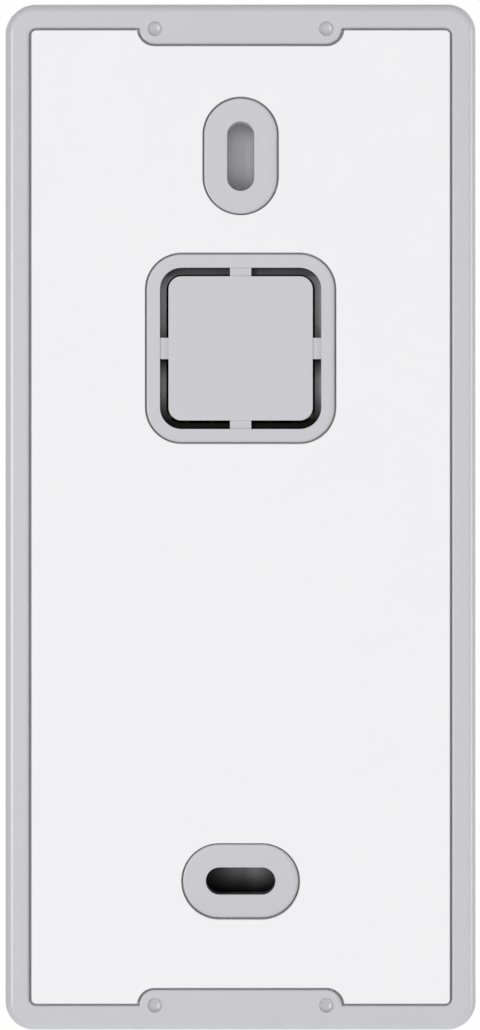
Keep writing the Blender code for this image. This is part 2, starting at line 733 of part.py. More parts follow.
def make_case_screws():
    return [
        make_screw(
            f"case_screw_{name}", right * CASE_SCREW_X, up * CASE_SCREW_Z,
            -3.5 * MM, 2.1 * MM, 1.5 * MM, 0.85 * MM, 9 * MM,
        )
        for name, right, up in corners()
    ]


# Electronics


def box(low, high):
    """A block between two corners, in world coordinates."""
    return {"sections": prism(rectangle((low[0], low[2]), (high[0], high[2])), low[1], high[1])}


def centred(x, z, width, height, rear, front):
    return box((x - width / 2, front, z - height / 2), (x + width / 2, rear, z + height / 2))


def make_board():
    board_green = material("board", (0.02, 0.16, 0.07), 0.5)
    outline = rounded(BOARD_WIDTH, BOARD_HEIGHT, 1.5 * MM, 3)
    board = solid("main_board", [{"sections": prism(outline, BOARD_REAR, BOARD_FRONT)}], board_green)
    hole = prism(circle(1.1 * MM, SMALL_CIRCLE), BOARD_REAR + 1 * MM, BOARD_FRONT - 1 * MM)
    holes = [
        {"sections": hole, "at": (right * BOARD_SCREW_X, up * BOARD_SCREW_Z)}
        for _, right, up in corners()
    ]
    shaped(board, "DIFFERENCE", "board_holes", holes)
    return board


def make_board_screws():
    return [
        make_screw(
            f"board_screw_{name}", right * BOARD_SCREW_X, up * BOARD_SCREW_Z,
            BOARD_REAR + 1.4 * MM, 1.8 * MM, 1.1 * MM, 0.7 * MM, 5.5 * MM,
        )
        for name, right, up in corners()
    ]


def make_battery():
    outline = rounded(46 * MM, 42 * MM, 2 * MM, 3)
    wrap = material("battery_wrap", (0.12, 0.25, 0.5), 0.4)
    cell = prism(outline, REAR_INNER - 0.4 * MM, -12.3 * MM)
    return solid("battery_pack", [{"sections": cell, "at": (0, -16 * MM)}], wrap)


def make_shield_can():
    outline = rounded(26 * MM, 13 * MM, 1 * MM, 3)
    can = prism(outline, ON_BOARD, ON_BOARD - 2.2 * MM)
    return solid("shield_can", [{"sections": can, "at": (0, 21 * MM)}], steel())


def make_antenna():
    gold = material("antenna_film", (0.25, 0.12, 0.04), 0.4)
    inner = WIDTH / 2 - COVER_WALL - GAP
    strip = box((inner - 0.3 * MM, -20.5 * MM, -8 * MM), (inner, -14 * MM, 26 * MM))
    return solid("wifi_antenna", [strip], gold)


# Camera and sensing


def make_lens_panel():
    """The dark panel over the camera and the infra-red lamps."""
    rear = TRIM_FRONT + PANEL_THICKNESS

    def outline_at(inset):
        return rounded(PANEL_SIZE - 2 * inset, PANEL_SIZE - 2 * inset, PANEL_CORNER - inset)

    sections = [
        (outline_at(0), rear),
        (outline_at(0), TRIM_FRONT + EDGE),
        (outline_at(EDGE), TRIM_FRONT),
    ]
    gloss = material("panel_gloss", (0.01, 0.01, 0.012), 0.08)
    panel = solid("lens_panel", [{"sections": sections, "at": (0, PANEL_Z)}], gloss)
    bore = prism(circle(CAMERA_BORE), COVER_FRONT - 1 * MM, rear + 1 * MM)
    shaped(panel, "DIFFERENCE", "panel_bore", [{"sections": bore, "at": (0, CAMERA_Z)}])
    return panel


def make_lens_window():
    radius = CAMERA_BORE - GAP
    profile = (
        (radius, COVER_FRONT + 1.3 * MM),
        (radius, TRIM_FRONT + EDGE),
        (radius - EDGE, TRIM_FRONT),
    )
    return solid("lens_window", [{"sections": turned(profile), "at": (0, CAMERA_Z)}], clear_glass())


def make_camera():
    """Lens barrel and glass, the holder that takes them, and the sensor behind."""
    barrel_profile = (
        (4.9 * MM, -17.4 * MM), (4.9 * MM, -20.4 * MM), (6.4 * MM, -20.6 * MM), (6.4 * MM, -23.2 * MM),
        (4.6 * MM, -23.2 * MM), (3.4 * MM, -21.6 * MM), (3.4 * MM, -17.4 * MM),
    )
    barrel = solid(
        "lens_barrel",
        [{"sections": turned(barrel_profile), "at": (0, CAMERA_Z), "ring": True}],
        black_plastic(),
    )
    lens_profile = (
        (3.1 * MM, -19.4 * MM), (3.1 * MM, -21.4 * MM), (2.4 * MM, -21.9 * MM), (1.2 * MM, -22.2 * MM),
    )
    lens = solid("front_lens", [{"sections": turned(lens_profile, 24), "at": (0, CAMERA_Z)}], clear_glass())
    block = centred(0, CAMERA_Z, 13 * MM, 13 * MM, ON_BOARD, -20.0 * MM)
    holder = solid("lens_holder", [block], black_plastic())
    hollows = [
        {"sections": prism(circle(5.2 * MM), -17.0 * MM, -21 * MM), "at": (0, CAMERA_Z)},
        centred(0, CAMERA_Z, 9.6 * MM, 9.6 * MM, ON_BOARD + 1 * MM, -17.2 * MM),
    ]
    shaped(holder, "DIFFERENCE", "holder_hollows", hollows)
    chip = material("sensor_chip", (0.06, 0.05, 0.09), 0.15)
    sensor = solid("image_sensor", [centred(0, CAMERA_Z, 7.5 * MM, 7.5 * MM, ON_BOARD, -16.3 * MM)], chip)
    return [barrel, lens, holder, sensor]


def make_ir_leds():
    lamp = material("ir_lamp", (0.12, 0.1, 0.14), 0.15, transmission=0.3)
    profile = (
        (2.5 * MM, ON_BOARD), (2.5 * MM, -20.6 * MM), (2.3 * MM, -21.6 * MM),
        (1.6 * MM, -22.4 * MM), (0.7 * MM, -22.8 * MM),
    )
    return [
        solid(f"ir_led_{name}", [{"sections": turned(profile, 20), "at": (side * LED_X, CAMERA_Z)}], lamp)
        for name, side in sides()
    ]


def make_pir():
    """A milky window with a flange behind the wall, and the can that looks through it."""
    milk = material("pir_milk", (0.85, 0.85, 0.83), 0.35)

    def outline_at(grow):
        return rounded(PIR_WIDTH + 2 * grow, PIR_HEIGHT + 2 * grow, PIR_CORNER + grow)

    sections = [
        (outline_at(-1.2 * MM), COVER_INNER + GAP + FLANGE),
        (outline_at(1.2 * MM), COVER_INNER + GAP + FLANGE),
        (outline_at(1.2 * MM), COVER_INNER + GAP),
        (outline_at(0), COVER_INNER + GAP),
        (outline_at(0), COVER_FRONT + 0.5 * MM),
        (outline_at(-0.8 * MM), COVER_FRONT + 0.2 * MM),
        (outline_at(-2.4 * MM), COVER_FRONT + 0.05 * MM),
        (outline_at(-2.4 * MM), COVER_FRONT + 0.9 * MM),
        (outline_at(-1.2 * MM), COVER_FRONT + 1.2 * MM),
    ]
    window = solid("pir_lens", [{"sections": sections, "at": (0, PIR_Z), "ring": True}], milk)
    pane = prism(outline_at(-2.2 * MM), COVER_FRONT + 0.05 * MM, COVER_FRONT + 0.9 * MM)
    shaped(window, "UNION", "pir_pane", [{"sections": pane, "at": (0, PIR_Z)}])
    profile = ((4.6 * MM, ON_BOARD), (4.6 * MM, -15.8 * MM), (4.1 * MM, -15.8 * MM), (4.1 * MM, -19.4 * MM))
    sensor = solid("pir_sensor", [{"sections": turned(profile, 24), "at": (0, PIR_Z)}], steel())
    return [window, sensor]


# Push button


def make_light_ring():
    """A light guide let into the front wall, with a flange behind it."""
    flange_front = COVER_INNER + GAP
    profile = (
        (RING_INNER, flange_front + FLANGE),
        (RING_INNER, TRIM_FRONT + EDGE),
        (RING_INNER + EDGE, TRIM_FRONT),
        (RING_OUTER - EDGE, TRIM_FRONT),
        (RING_OUTER, TRIM_FRONT + EDGE),
        (RING_OUTER, flange_front),
        (RING_OUTER + RING_FLANGE, flange_front),
        (RING_OUTER + RING_FLANGE, flange_front + FLANGE),
    )
    glow = material("light_guide", (0.8, 0.85, 0.9), 0.3, transmission=0.4)
    sections = turned(profile, LARGE_CIRCLE)
    return solid("light_ring", [{"sections": sections, "at": (0, BUTTON_Z), "ring": True}], glow)


def make_button():
    """The cap, with a flange that keeps it in and a post that meets the switch stem."""
    front = COVER_FRONT + 0.3 * MM
    flange_front = COVER_INNER + 2 * GAP + FLANGE
    flange_rear = flange_front + 0.8 * MM
    profile = (
        (2.0 * MM, -19.1 * MM),
        (2.0 * MM, front + 1.4 * MM),
        (BUTTON_RADIUS - 1.5 * MM, front + 1.4 * MM),
        (BUTTON_RADIUS - 1.5 * MM, flange_rear),
        (BUTTON_RADIUS + 1.4 * MM, flange_rear),
        (BUTTON_RADIUS + 1.4 * MM, flange_front),
        (BUTTON_RADIUS, flange_front),
        (BUTTON_RADIUS, front + 0.4 * MM),
        (BUTTON_RADIUS - 0.4 * MM, front),
        (BUTTON_RADIUS * 0.6, front + 0.12 * MM),
        (BUTTON_RADIUS * 0.3, front + 0.2 * MM),
    )
    sections = turned(profile, LARGE_CIRCLE)
    return solid(
        "button_cap",
        [{"sections": sections, "at": (0, BUTTON_Z)}],
        material("button_plastic", (0.55, 0.55, 0.57), 0.4),
        (0, 0, BUTTON_Z),
    )


def make_switch():
    """A tact switch on the board. Its stem moves with the cap."""
    block = centred(0, BUTTON_Z, 6 * MM, 6 * MM, ON_BOARD, -17.9 * MM)
    body = solid("switch_body", [block], black_plastic())
    well = prism(circle(1.75 * MM, SMALL_CIRCLE), -16.4 * MM, -19 * MM)
    shaped(body, "DIFFERENCE", "switch_well", [{"sections": well, "at": (0, BUTTON_Z)}])
    profile = ((1.6 * MM, -17.1 * MM), (1.6 * MM, -18.95 * MM))
    stem = solid(
        "switch_stem",
        [{"sections": turned(profile, SMALL_CIRCLE), "at": (0, BUTTON_Z)}],
        material("stem_plastic", (0.5, 0.3, 0.1), 0.5),
        (0, 0, BUTTON_Z),
    )
    return body, stem


def make_button_spring():
    """A coil round the switch, from the board to the back of the cap."""
    coil_radius, wire, turns, steps = 6.2 * MM, 0.3 * MM, 4, 12
    rear, front = ON_BOARD - wire, COVER_FRONT + 1.7 * MM + GAP + wire
    shape = bmesh.new()
    loops = []
    for i in range(turns * steps + 1):
        angle = math.tau * i / steps
        level = rear + (front - rear) * i / (turns * steps)
        out = Vector((math.cos(angle), 0, math.sin(angle)))
        centre = out * coil_radius + Vector((0, level, BUTTON_Z))
        loops.append([
            shape.verts.new(centre + wire * (math.cos(turn) * out + math.sin(turn) * Vector((0, 1, 0))))
            for turn in (math.tau * k / 6 for k in range(6))
        ])
    for near, far in zip(loops, loops[1:]):
        for k in range(6):
            shape.faces.new((near[k], near[(k + 1) % 6], far[(k + 1) % 6], far[k]))
    shape.faces.new(loops[0])
    shape.faces.new(loops[-1])
    bmesh.ops.recalc_face_normals(shape, faces=shape.faces)
    mesh = bpy.data.meshes.new("button_spring")
    shape.to_mesh(mesh)
    shape.free()
    mesh.shade_smooth()
    mesh.materials.append(steel())
    spring = bpy.data.objects.new("button_spring", mesh)
    bpy.context.collection.objects.link(spring)
    return spring


def make_ring_leds():
    """Four lamps on the board behind the light ring."""
    lamp = material("white_lamp", (0.9, 0.85, 0.5), 0.3)
    radius = (RING_INNER + RING_OUTER) / 2
    places = (("top", 0, 1), ("bottom", 0, -1), ("left", -1, 0), ("right", 1, 0))
    return [
        solid(
            f"ring_led_{name}",
            [centred(u * radius, BUTTON_Z + v * radius, 2.4 * MM, 2.4 * MM, ON_BOARD, -16.2 * MM)],
            lamp,
        )
        for name, u, v in places
    ]


# Sound, port and terminals


def speaker_outline(inset, radius):
    return rounded(SPEAKER_WIDTH - 2 * inset, SPEAKER_HEIGHT - 2 * inset, radius, 3)


def make_speaker():
    """A gasket behind the slots, the frame that presses it there, and the cone in the frame."""
    front = COVER_INNER + GAP
    outer = rounded(SPEAKER_WIDTH, SPEAKER_HEIGHT, 1.5 * MM, 3)
    opening = speaker_outline(SPEAKER_OPENING, 0.9 * MM)
    gasket_sections = [(outer, front), (outer, front + GASKET), (opening, front + GASKET), (opening, front)]
    at = (0, SPEAKER_Z)
    gasket = solid("speaker_gasket", [{"sections": gasket_sections, "at": at, "ring": True}], rubber())
    rim = front + GASKET + GAP
    side = speaker_outline(0.2 * MM, 1.3 * MM)
    frame_sections = [(opening, rim + 2.4 * MM), (opening, rim), (side, rim), (side, rim + 3.6 * MM)]
    frame = solid("speaker_frame", [{"sections": frame_sections, "at": at}], black_plastic())
    edge = speaker_outline(1.7 * MM, 0.8 * MM)
    dome = rounded(9 * MM, 4.6 * MM, 0.6 * MM, 3)
    cone_sections = [(edge, rim + 1.0 * MM), (edge, rim + 0.7 * MM), (dome, rim + 0.2 * MM)]
    film = material("cone_film", (0.1, 0.1, 0.11), 0.35)
    cone = solid("speaker_cone", [{"sections": cone_sections, "at": at}], film)
    return [gasket, frame, cone]


def make_microphone():
    chip = solid("microphone", [centred(MIC_X, MIC_Z, 3.6 * MM, 2.8 * MM, ON_BOARD, -16.3 * MM)], steel())
    profile = (
        (0.6 * MM, -16.6 * MM), (0.6 * MM, COVER_INNER + GAP),
        (2.0 * MM, COVER_INNER + GAP), (2.0 * MM, -16.6 * MM),
    )
    sections = turned(profile, SMALL_CIRCLE)
    boot = solid("mic_boot", [{"sections": sections, "at": (MIC_X, MIC_Z), "ring": True}], rubber())
    return [chip, boot]


def make_port():
    """The charging socket, open downwards."""
    mouth, end, wall = -64.2 * MM, -57.0 * MM, 0.35 * MM
    outside = stadium(9.0 * MM, 3.2 * MM)
    inside = stadium(9.0 * MM, 3.2 * MM, -wall)
    sections = [(inside, end - wall), (inside, mouth), (outside, mouth), (outside, end)]
    port = solid("usb_port", [{"sections": sections, "axis": "Z", "at": (PORT_X, PORT_Y)}], steel())
    tongue = box(
        (PORT_X - 3.3 * MM, PORT_Y - 0.35 * MM, mouth + 0.8 * MM),
        (PORT_X + 3.3 * MM, PORT_Y + 0.35 * MM, end - wall / 2),
    )
    shaped(port, "UNION", "port_tongue", [tongue])
    return port


def make_port_cover():
    """A rubber flap in the lower wall, hinged at its rear edge."""
    middle = (FLAP_REAR + FLAP_FRONT) / 2
    outline = rounded(FLAP_WIDTH, FLAP_REAR - FLAP_FRONT, 1.2 * MM)
    low = -HEIGHT / 2
    flap = prism(outline, low, low + FLAP_THICKNESS)
    cover = solid(
        "port_cover",
        [{"sections": flap, "axis": "Z", "at": (PORT_X, middle)}],
        rubber(),
        (PORT_X, FLAP_REAR, low),
    )
    lip = stadium(5 * MM, 0.8 * MM)
    groove = prism(lip, low - 1 * MM, low + 0.5 * MM)
    at = (PORT_X, FLAP_FRONT + 1 * MM)
    shaped(cover, "DIFFERENCE", "flap_groove", [{"sections": groove, "axis": "Z", "at": at}])
    return cover


def make_reset():
    """A recessed key in the lower wall, and the switch above it."""
    low, half = -HEIGHT / 2, 2.2 * MM
    profile = (
        (1.4 * MM, low + 0.7 * MM), (1.6 * MM, low + 0.9 * MM), (1.6 * MM, low + COVER_WALL + GAP),
        (half, low + COVER_WALL + GAP), (half, low + COVER_WALL + 0.9 * MM),
    )
    at = (RESET_X, PORT_Y)
    key = solid(
        "reset_button",
        [{"sections": turned(profile, SMALL_CIRCLE), "axis": "Z", "at": at}],
        rubber(),
        (RESET_X, PORT_Y, low),
    )
    top = low + COVER_WALL + 0.9 * MM
    body = solid(
        "reset_switch",
        [box((RESET_X - half, -18.4 * MM, top + 0.6 * MM), (RESET_X + half, ON_BOARD, top + 3.8 * MM))],
        black_plastic(),
    )
    return key, body


def make_terminals():
    """A block in the wiring bay. Each terminal has a brass plate and a screw with a captive washer."""
    block = solid(
        "terminal_block",
        [centred(0, TERMINAL_Z, 22 * MM, 9.2 * MM, -8.4 * MM, BAY_FLOOR + GAP)],
        black_plastic(),
    )
    bore = prism(circle(TERMINAL_BORE, SMALL_CIRCLE), -7 * MM, -11.3 * MM)
    bores = [{"sections": bore, "at": (side * TERMINAL_X, TERMINAL_Z)} for _, side in sides()]
    shaped(block, "DIFFERENCE", "block_bores", bores)
    fixed, washers, screws = [block], [], []
    for name, side in sides():
        x = side * TERMINAL_X
        plate = solid(
            f"terminal_plate_{name}",
            [centred(x, TERMINAL_Z, 8 * MM, 7.6 * MM, TERMINAL_FLOOR + 0.8 * MM, TERMINAL_FLOOR)],
            brass(),
        )
        bore = prism(circle(TERMINAL_BORE, SMALL_CIRCLE), TERMINAL_FLOOR - 1 * MM, TERMINAL_FLOOR + 2 * MM)
        shaped(plate, "DIFFERENCE", f"plate_bore_{name}", [{"sections": bore, "at": (x, TERMINAL_Z)}])
        fixed.append(plate)
        rear, front = TERMINAL_FLOOR + 1.6 * MM, TERMINAL_FLOOR + 0.9 * MM
        profile = ((1.6 * MM, rear), (3.1 * MM, rear), (3.1 * MM, front), (1.6 * MM, front))
        sections = turned(profile, 20)
        washers.append(solid(
            f"clamp_washer_{name}",
            [{"sections": sections, "at": (x, TERMINAL_Z), "ring": True}],
            steel(),
            (x, 0, TERMINAL_Z),
        ))
        screws.append(make_screw(
            f"terminal_screw_{name}", x, TERMINAL_Z,
            rear + 1.8 * MM, 2.8 * MM, 1.7 * MM, 1.35 * MM, 4.6 * MM,
        ))
    return fixed, washers, screws


def clear_scene():
    for item in list(bpy.data.objects):
        bpy.data.objects.remove(item, do_unlink=True)


def main():
    clear_scene()
    carry(pivot("wall_plate", (0, 0, 0)), [make_plate(), make_pad(), make_snap_clip()])

    switch_body, switch_stem = make_switch()
    reset_key, reset_body = make_reset()
    terminals, washers, screws = make_terminals()
    unit = pivot("unit_tilt_axis", (0, TILT_Y, TILT_Z))
    fixed = [make_rear_case(), make_front_cover(), make_case_seal(), make_board(), make_battery()]
    fixed += [make_shield_can(), make_antenna(), make_lens_panel(), make_lens_window(), make_light_ring()]
    fixed += [make_button_spring(), switch_body, reset_body, make_port()]
    fixed += make_case_screws() + make_board_screws() + make_camera() + make_ir_leds() + make_pir()
    fixed += make_ring_leds() + make_speaker() + make_microphone() + terminals
    moving = [make_button(), switch_stem, reset_key, make_port_cover()]
    carry(unit, fixed + moving + washers)
    for washer, screw in zip(washers, screws):
        carry(washer, [screw])


main()
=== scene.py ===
"""Looks of a wall-mounted video doorbell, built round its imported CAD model. Outlines and levels are in mm."""

import math

import bmesh
import bpy
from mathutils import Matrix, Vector


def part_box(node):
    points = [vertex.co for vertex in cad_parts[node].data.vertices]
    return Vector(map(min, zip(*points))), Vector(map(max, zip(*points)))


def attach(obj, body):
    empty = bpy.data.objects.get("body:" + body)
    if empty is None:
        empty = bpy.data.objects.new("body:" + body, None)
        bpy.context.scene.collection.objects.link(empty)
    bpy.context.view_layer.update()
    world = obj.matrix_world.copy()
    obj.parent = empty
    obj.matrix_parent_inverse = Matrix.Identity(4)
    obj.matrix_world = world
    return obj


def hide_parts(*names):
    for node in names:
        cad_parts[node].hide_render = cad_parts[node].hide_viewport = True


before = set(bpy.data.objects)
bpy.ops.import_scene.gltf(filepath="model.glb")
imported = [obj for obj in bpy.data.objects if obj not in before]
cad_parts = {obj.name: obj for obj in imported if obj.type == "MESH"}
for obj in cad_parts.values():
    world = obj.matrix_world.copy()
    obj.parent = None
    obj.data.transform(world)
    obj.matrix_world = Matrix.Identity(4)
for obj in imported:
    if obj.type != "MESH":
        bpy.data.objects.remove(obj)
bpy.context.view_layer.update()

MM = 0.001

# Steps in a rounded corner, a rounded edge and a circle, and the angle from which an edge stays sharp
QUARTER = 14
ROUND = 4
CIRCLE = 72
SHARP = math.radians(38)


def levels(node):
    """A node's lowest and highest corners, in mm."""
    low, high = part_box(node)
    return [v / MM for v in low], [v / MM for v in high]


PLATE_LOW, PLATE_HIGH = levels("mounting_plate")
PAD_LOW, PAD_HIGH = levels("adhesive_pad")
COVER_LOW = levels("front_cover")[0]
CASE_HIGH = levels("rear_case")[1]
PANEL_LOW, PANEL_HIGH = levels("lens_panel")
WINDOW_LOW, WINDOW_HIGH = levels("lens_window")
RING_LOW, RING_HIGH = levels("light_ring")
CAP_LOW, CAP_HIGH = levels("button_cap")
PIR_LOW, PIR_HIGH = levels("pir_lens")


def middle(low, high):
    return (low[0] + high[0]) / 2, (low[2] + high[2]) / 2


# The plate and its pad: RECESS is a width, height and corner radius, TAB the x, z and radius of a tab's end
WIDTH = PLATE_HIGH[0] - PLATE_LOW[0]
HEIGHT = PLATE_HIGH[2] - PLATE_LOW[2]
CORNER = 3.7
PLATE_REAR = PLATE_HIGH[1]
PLATE_FRONT = PLATE_REAR - 2.4
RECESS_FLOOR = PAD_LOW[1] - 0.3
RECESS = (54.8, 126.65, 0.9)
TAB = (11.12, 63.28, 2.0)
PAD_GAP = 0.32
PAD_SNUG = 0.19
SLOT = (3.5, 9.0)
ISLAND_RIM = 3.0
ISLAND_ROOT = RECESS_FLOOR - 0.2
ISLAND_EDGE = 0.2
UPPER_SLOT_Z = 46.77
LOWER_SLOT_Z = -47.17

# The knock-out, in square sizes: its island, its hole, the ledge that narrows the hole, and its plug
KNOCK_OUT_Z = 21.86
KNOCK_OUT_ISLAND = 24.4
KNOCK_OUT_HOLE = 20.9
KNOCK_OUT_FAR_HOLE = 19.35
KNOCK_OUT_LEDGE = -2.0
KNOCK_OUT_PLUG = 18.7
PLUG_CORNER = 1.7
ISLAND_CORNER = PLUG_CORNER + (KNOCK_OUT_ISLAND - KNOCK_OUT_PLUG) / 2
WEB_WIDTH = 2.76

# The case: its wiring bay, the pockets for the wall screws' heads, where its own screws and the board's are,
# and the heights between which the terminals' lower edges are painted nearly black as shade
BAY = (26.0, 2.0)
BAY_WALL = (28.4, 3.0)
POCKET = (10.5, 15.5)
POCKET_WALL = 1.2
CASE_SCREW = (25.0, 60.0)
BOARD_SCREW = (18.5, 53.0)
TERMINAL_SHADE_HEIGHTS = (11, 13.05)

# The front: the glossy panel, the seat it lies in, and where its holes are. The last three are in the underside,
# and have an x and a y
PANEL = (46.0, 9.0)
PANEL_SEAT = (46.6, 9.3)
CAMERA_HOLE = 7.6
LAMP_HOLE_X = 15.0
MICROPHONE_HOLE = (-13.5, -50.0)
SOUND_SLOT = (1.2, 7.0)
SOUND_SLOT_PITCH = 2.6
SOUND_SLOT_Z = -55.5
PORT_SEAT = (14.5, -17.0)
PORT_HOLE = (14.5, -16.9)
RESET_HOLE = (-14.5, -16.9)

PANEL_X, PANEL_Z = middle(PANEL_LOW, PANEL_HIGH)
CAMERA_X, CAMERA_Z = middle(WINDOW_LOW, WINDOW_HIGH)
BUTTON_X, BUTTON_Z = middle(CAP_LOW, CAP_HIGH)
PIR_X, PIR_Z = middle(PIR_LOW, PIR_HIGH)


# Outlines


def arc(centre, radius, start, end, steps):
    turns = [math.radians(start + (end - start) * i / steps) for i in range(steps + 1)]
    return [(centre[0] + radius * math.cos(a), centre[1] + radius * math.sin(a)) for a in turns]


def circle(radius, steps=CIRCLE):
    return arc((0, 0), radius, 0, 360, steps)[:-1]


def rounded(width, height, radius):
    """A rectangle with round corners."""
    u, v = width / 2 - radius, height / 2 - radius
    points = []
    for turn, (side_u, side_v) in enumerate(((1, 1), (-1, 1), (-1, -1), (1, -1))):
        points += arc((side_u * u, side_v * v), radius, 90 * turn, 90 * turn + 90, QUARTER)
    return points


def square(size, corner, grow=0.0):
    return rounded(size + 2 * grow, size + 2 * grow, corner + grow)


def stadium(width, height, grow=0.0):
    """A slot with round ends, along its longer side."""
    radius = min(width, height) / 2 + grow
    u, v = max(width - height, 0) / 2, max(height - width, 0) / 2
    first = -90 if width > height else 0
    ends = arc((u, v), radius, first, first + 180, 2 * QUARTER)
    return ends + arc((-u, -v), radius, first + 180, first + 360, 2 * QUARTER)


def slot_outline(width, height, rim=0.0):
    """A slot's outline with a rim round it, as a function of how far it is grown."""
    return lambda grow: stadium(width, height, rim + grow)


def body_outline(inset=0.0):
    return rounded(WIDTH - 2 * inset, HEIGHT - 2 * inset, max(CORNER - inset, 0.8))


def recess_outline(grow=0.0):
    """The pad recess, which a round-ended tab enters at its top and its bottom."""
    width, height, radius = RECESS
    tab_x, tab_z, tab_radius = TAB
    u, v = width / 2 - radius, height / 2 - radius
    corner, tab = radius + grow, tab_radius - grow
    lean = math.degrees(math.asin((height / 2 + grow - tab_z) / tab))
    points = arc((u, v), corner, 0, 90, QUARTER)
    points += arc((tab_x, tab_z), tab, lean, -90, QUARTER)
    points += arc((-tab_x, tab_z), tab, 270, 180 - lean, QUARTER)
    points += arc((-u, v), corner, 90, 180, QUARTER)
    points += arc((-u, -v), corner, 180, 270, QUARTER)
    points += arc((-tab_x, -tab_z), tab, 180 + lean, 90, QUARTER)
    points += arc((tab_x, -tab_z), tab, 90, -lean, QUARTER)
    return points + arc((u, -v), corner, 270, 360, QUARTER)


# Meshes

AXES = {
    "X": lambda u, v, level: (level, u, v),
    "Y": lambda u, v, level: (u, level, v),
    "Z": lambda u, v, level: (u, v, level),
}


def skin(shape, rings, closed=False):
    """Faces between rings of points (in mm) that follow each other, with caps unless closed."""
    loops = [[shape.verts.new(Vector(point) * MM) for point in ring] for ring in rings]
    pairs = list(zip(loops, loops[1:]))
    if closed:
        pairs.append((loops[-1], loops[0]))
    for near, far in pairs:
        for i in range(len(near)):
            j = (i + 1) % len(near)
            shape.faces.new((near[i], near[j], far[j], far[i]))
    if not closed:
        shape.faces.new(loops[0])
        shape.faces.new(loops[-1])


def rings_of(sections, at=(0, 0), axis="Y"):
    """Rings from (outline, level) pairs."""
    place = AXES[axis]
    return [[place(u + at[0], v + at[1], level) for u, v in outline] for outline, level in sections]


def mesh_piece(name, bodies):
    """An object from bodies, each a list of rings and whether it is closed."""
    shape = bmesh.new()
    for rings, closed in bodies:
        skin(shape, rings, closed)
    bmesh.ops.recalc_face_normals(shape, faces=shape.faces)
    mesh = bpy.data.meshes.new(name)
    shape.to_mesh(mesh)
    shape.free()
    made = bpy.data.objects.new(name, mesh)
    bpy.context.collection.objects.link(made)
    return made


def loft(name, sections, at=(0, 0), closed=False):
    return mesh_piece(name, [(rings_of(sections, at), closed)])


def carve(target, operation, bodies):
    """Joins bodies to a piece (UNION) or cuts them from it (DIFFERENCE)."""
    tool = mesh_piece("tool", bodies)
    modifier = target.modifiers.new("carve", "BOOLEAN")
    modifier.operation = operation
    modifier.object = tool
    modifier.solver = "EXACT"
    modifier.use_self = True
    graph = bpy.context.evaluated_depsgraph_get()
    result = bpy.data.meshes.new_from_object(target.evaluated_get(graph))
    target.modifiers.clear()
    old = target.data
    target.data = result
    bpy.data.meshes.remove(old)
    bpy.data.objects.remove(tool, do_unlink=True)


def smooth(piece, sharp=SHARP):
    """Smooth shading, except at sharp edges, with flat faces kept flat."""
    piece.data.shade_smooth()
    piece.data.set_sharp_from_angle(angle=sharp)
    modifier = piece.modifiers.new("normals", "WEIGHTED_NORMAL")
    modifier.keep_sharp = True
    modifier.weight = 100
    return piece


def prism(outline, start, end, at=(0, 0), axis="Y"):
    """A straight body between two levels."""
    return rings_of([(outline, start), (outline, end)], at, axis), False


def round_over(radius, steps):
    """A rounded edge's distances from the side and from the flat face, from that face to the side."""
    turns = [math.radians(90 * i / steps) for i in range(steps + 1)]
    return [(radius * (1 - math.sin(a)), radius * (1 - math.cos(a))) for a in turns]


def mouth(outline_at, level, floor, radius, at=(0, 0), up=1, axis="Y"):
    """A cutter whose rim at the level is rounded. up is +1 for a face that looks along +axis."""
    sections = [(outline_at(radius), level + up)]
    sections += [(outline_at(side), level - up * depth) for side, depth in round_over(radius, ROUND)]
    sections.append((outline_at(0), floor))
    return rings_of(sections, at, axis), False


def mound(outline_at, level, base, radius, at=(0, 0), up=1, steps=ROUND, axis="Y"):
    """A solid whose edge at the level is rounded. outline_at takes how far it is grown."""
    sections = [(outline_at(-side), level - up * depth) for side, depth in round_over(radius, steps)]
    sections.append((outline_at(0), base))
    return rings_of(sections, at, axis), False


def turned(name, profile, at, steps, closed=False):
    """A lathe-turned piece, from (radius, level) pairs."""
    return loft(name, [(circle(radius, steps), level) for radius, level in profile], at, closed)


def rectangle(low, high):
    return [(high[0], high[1]), (low[0], high[1]), (low[0], low[1]), (high[0], low[1])]


# Materials


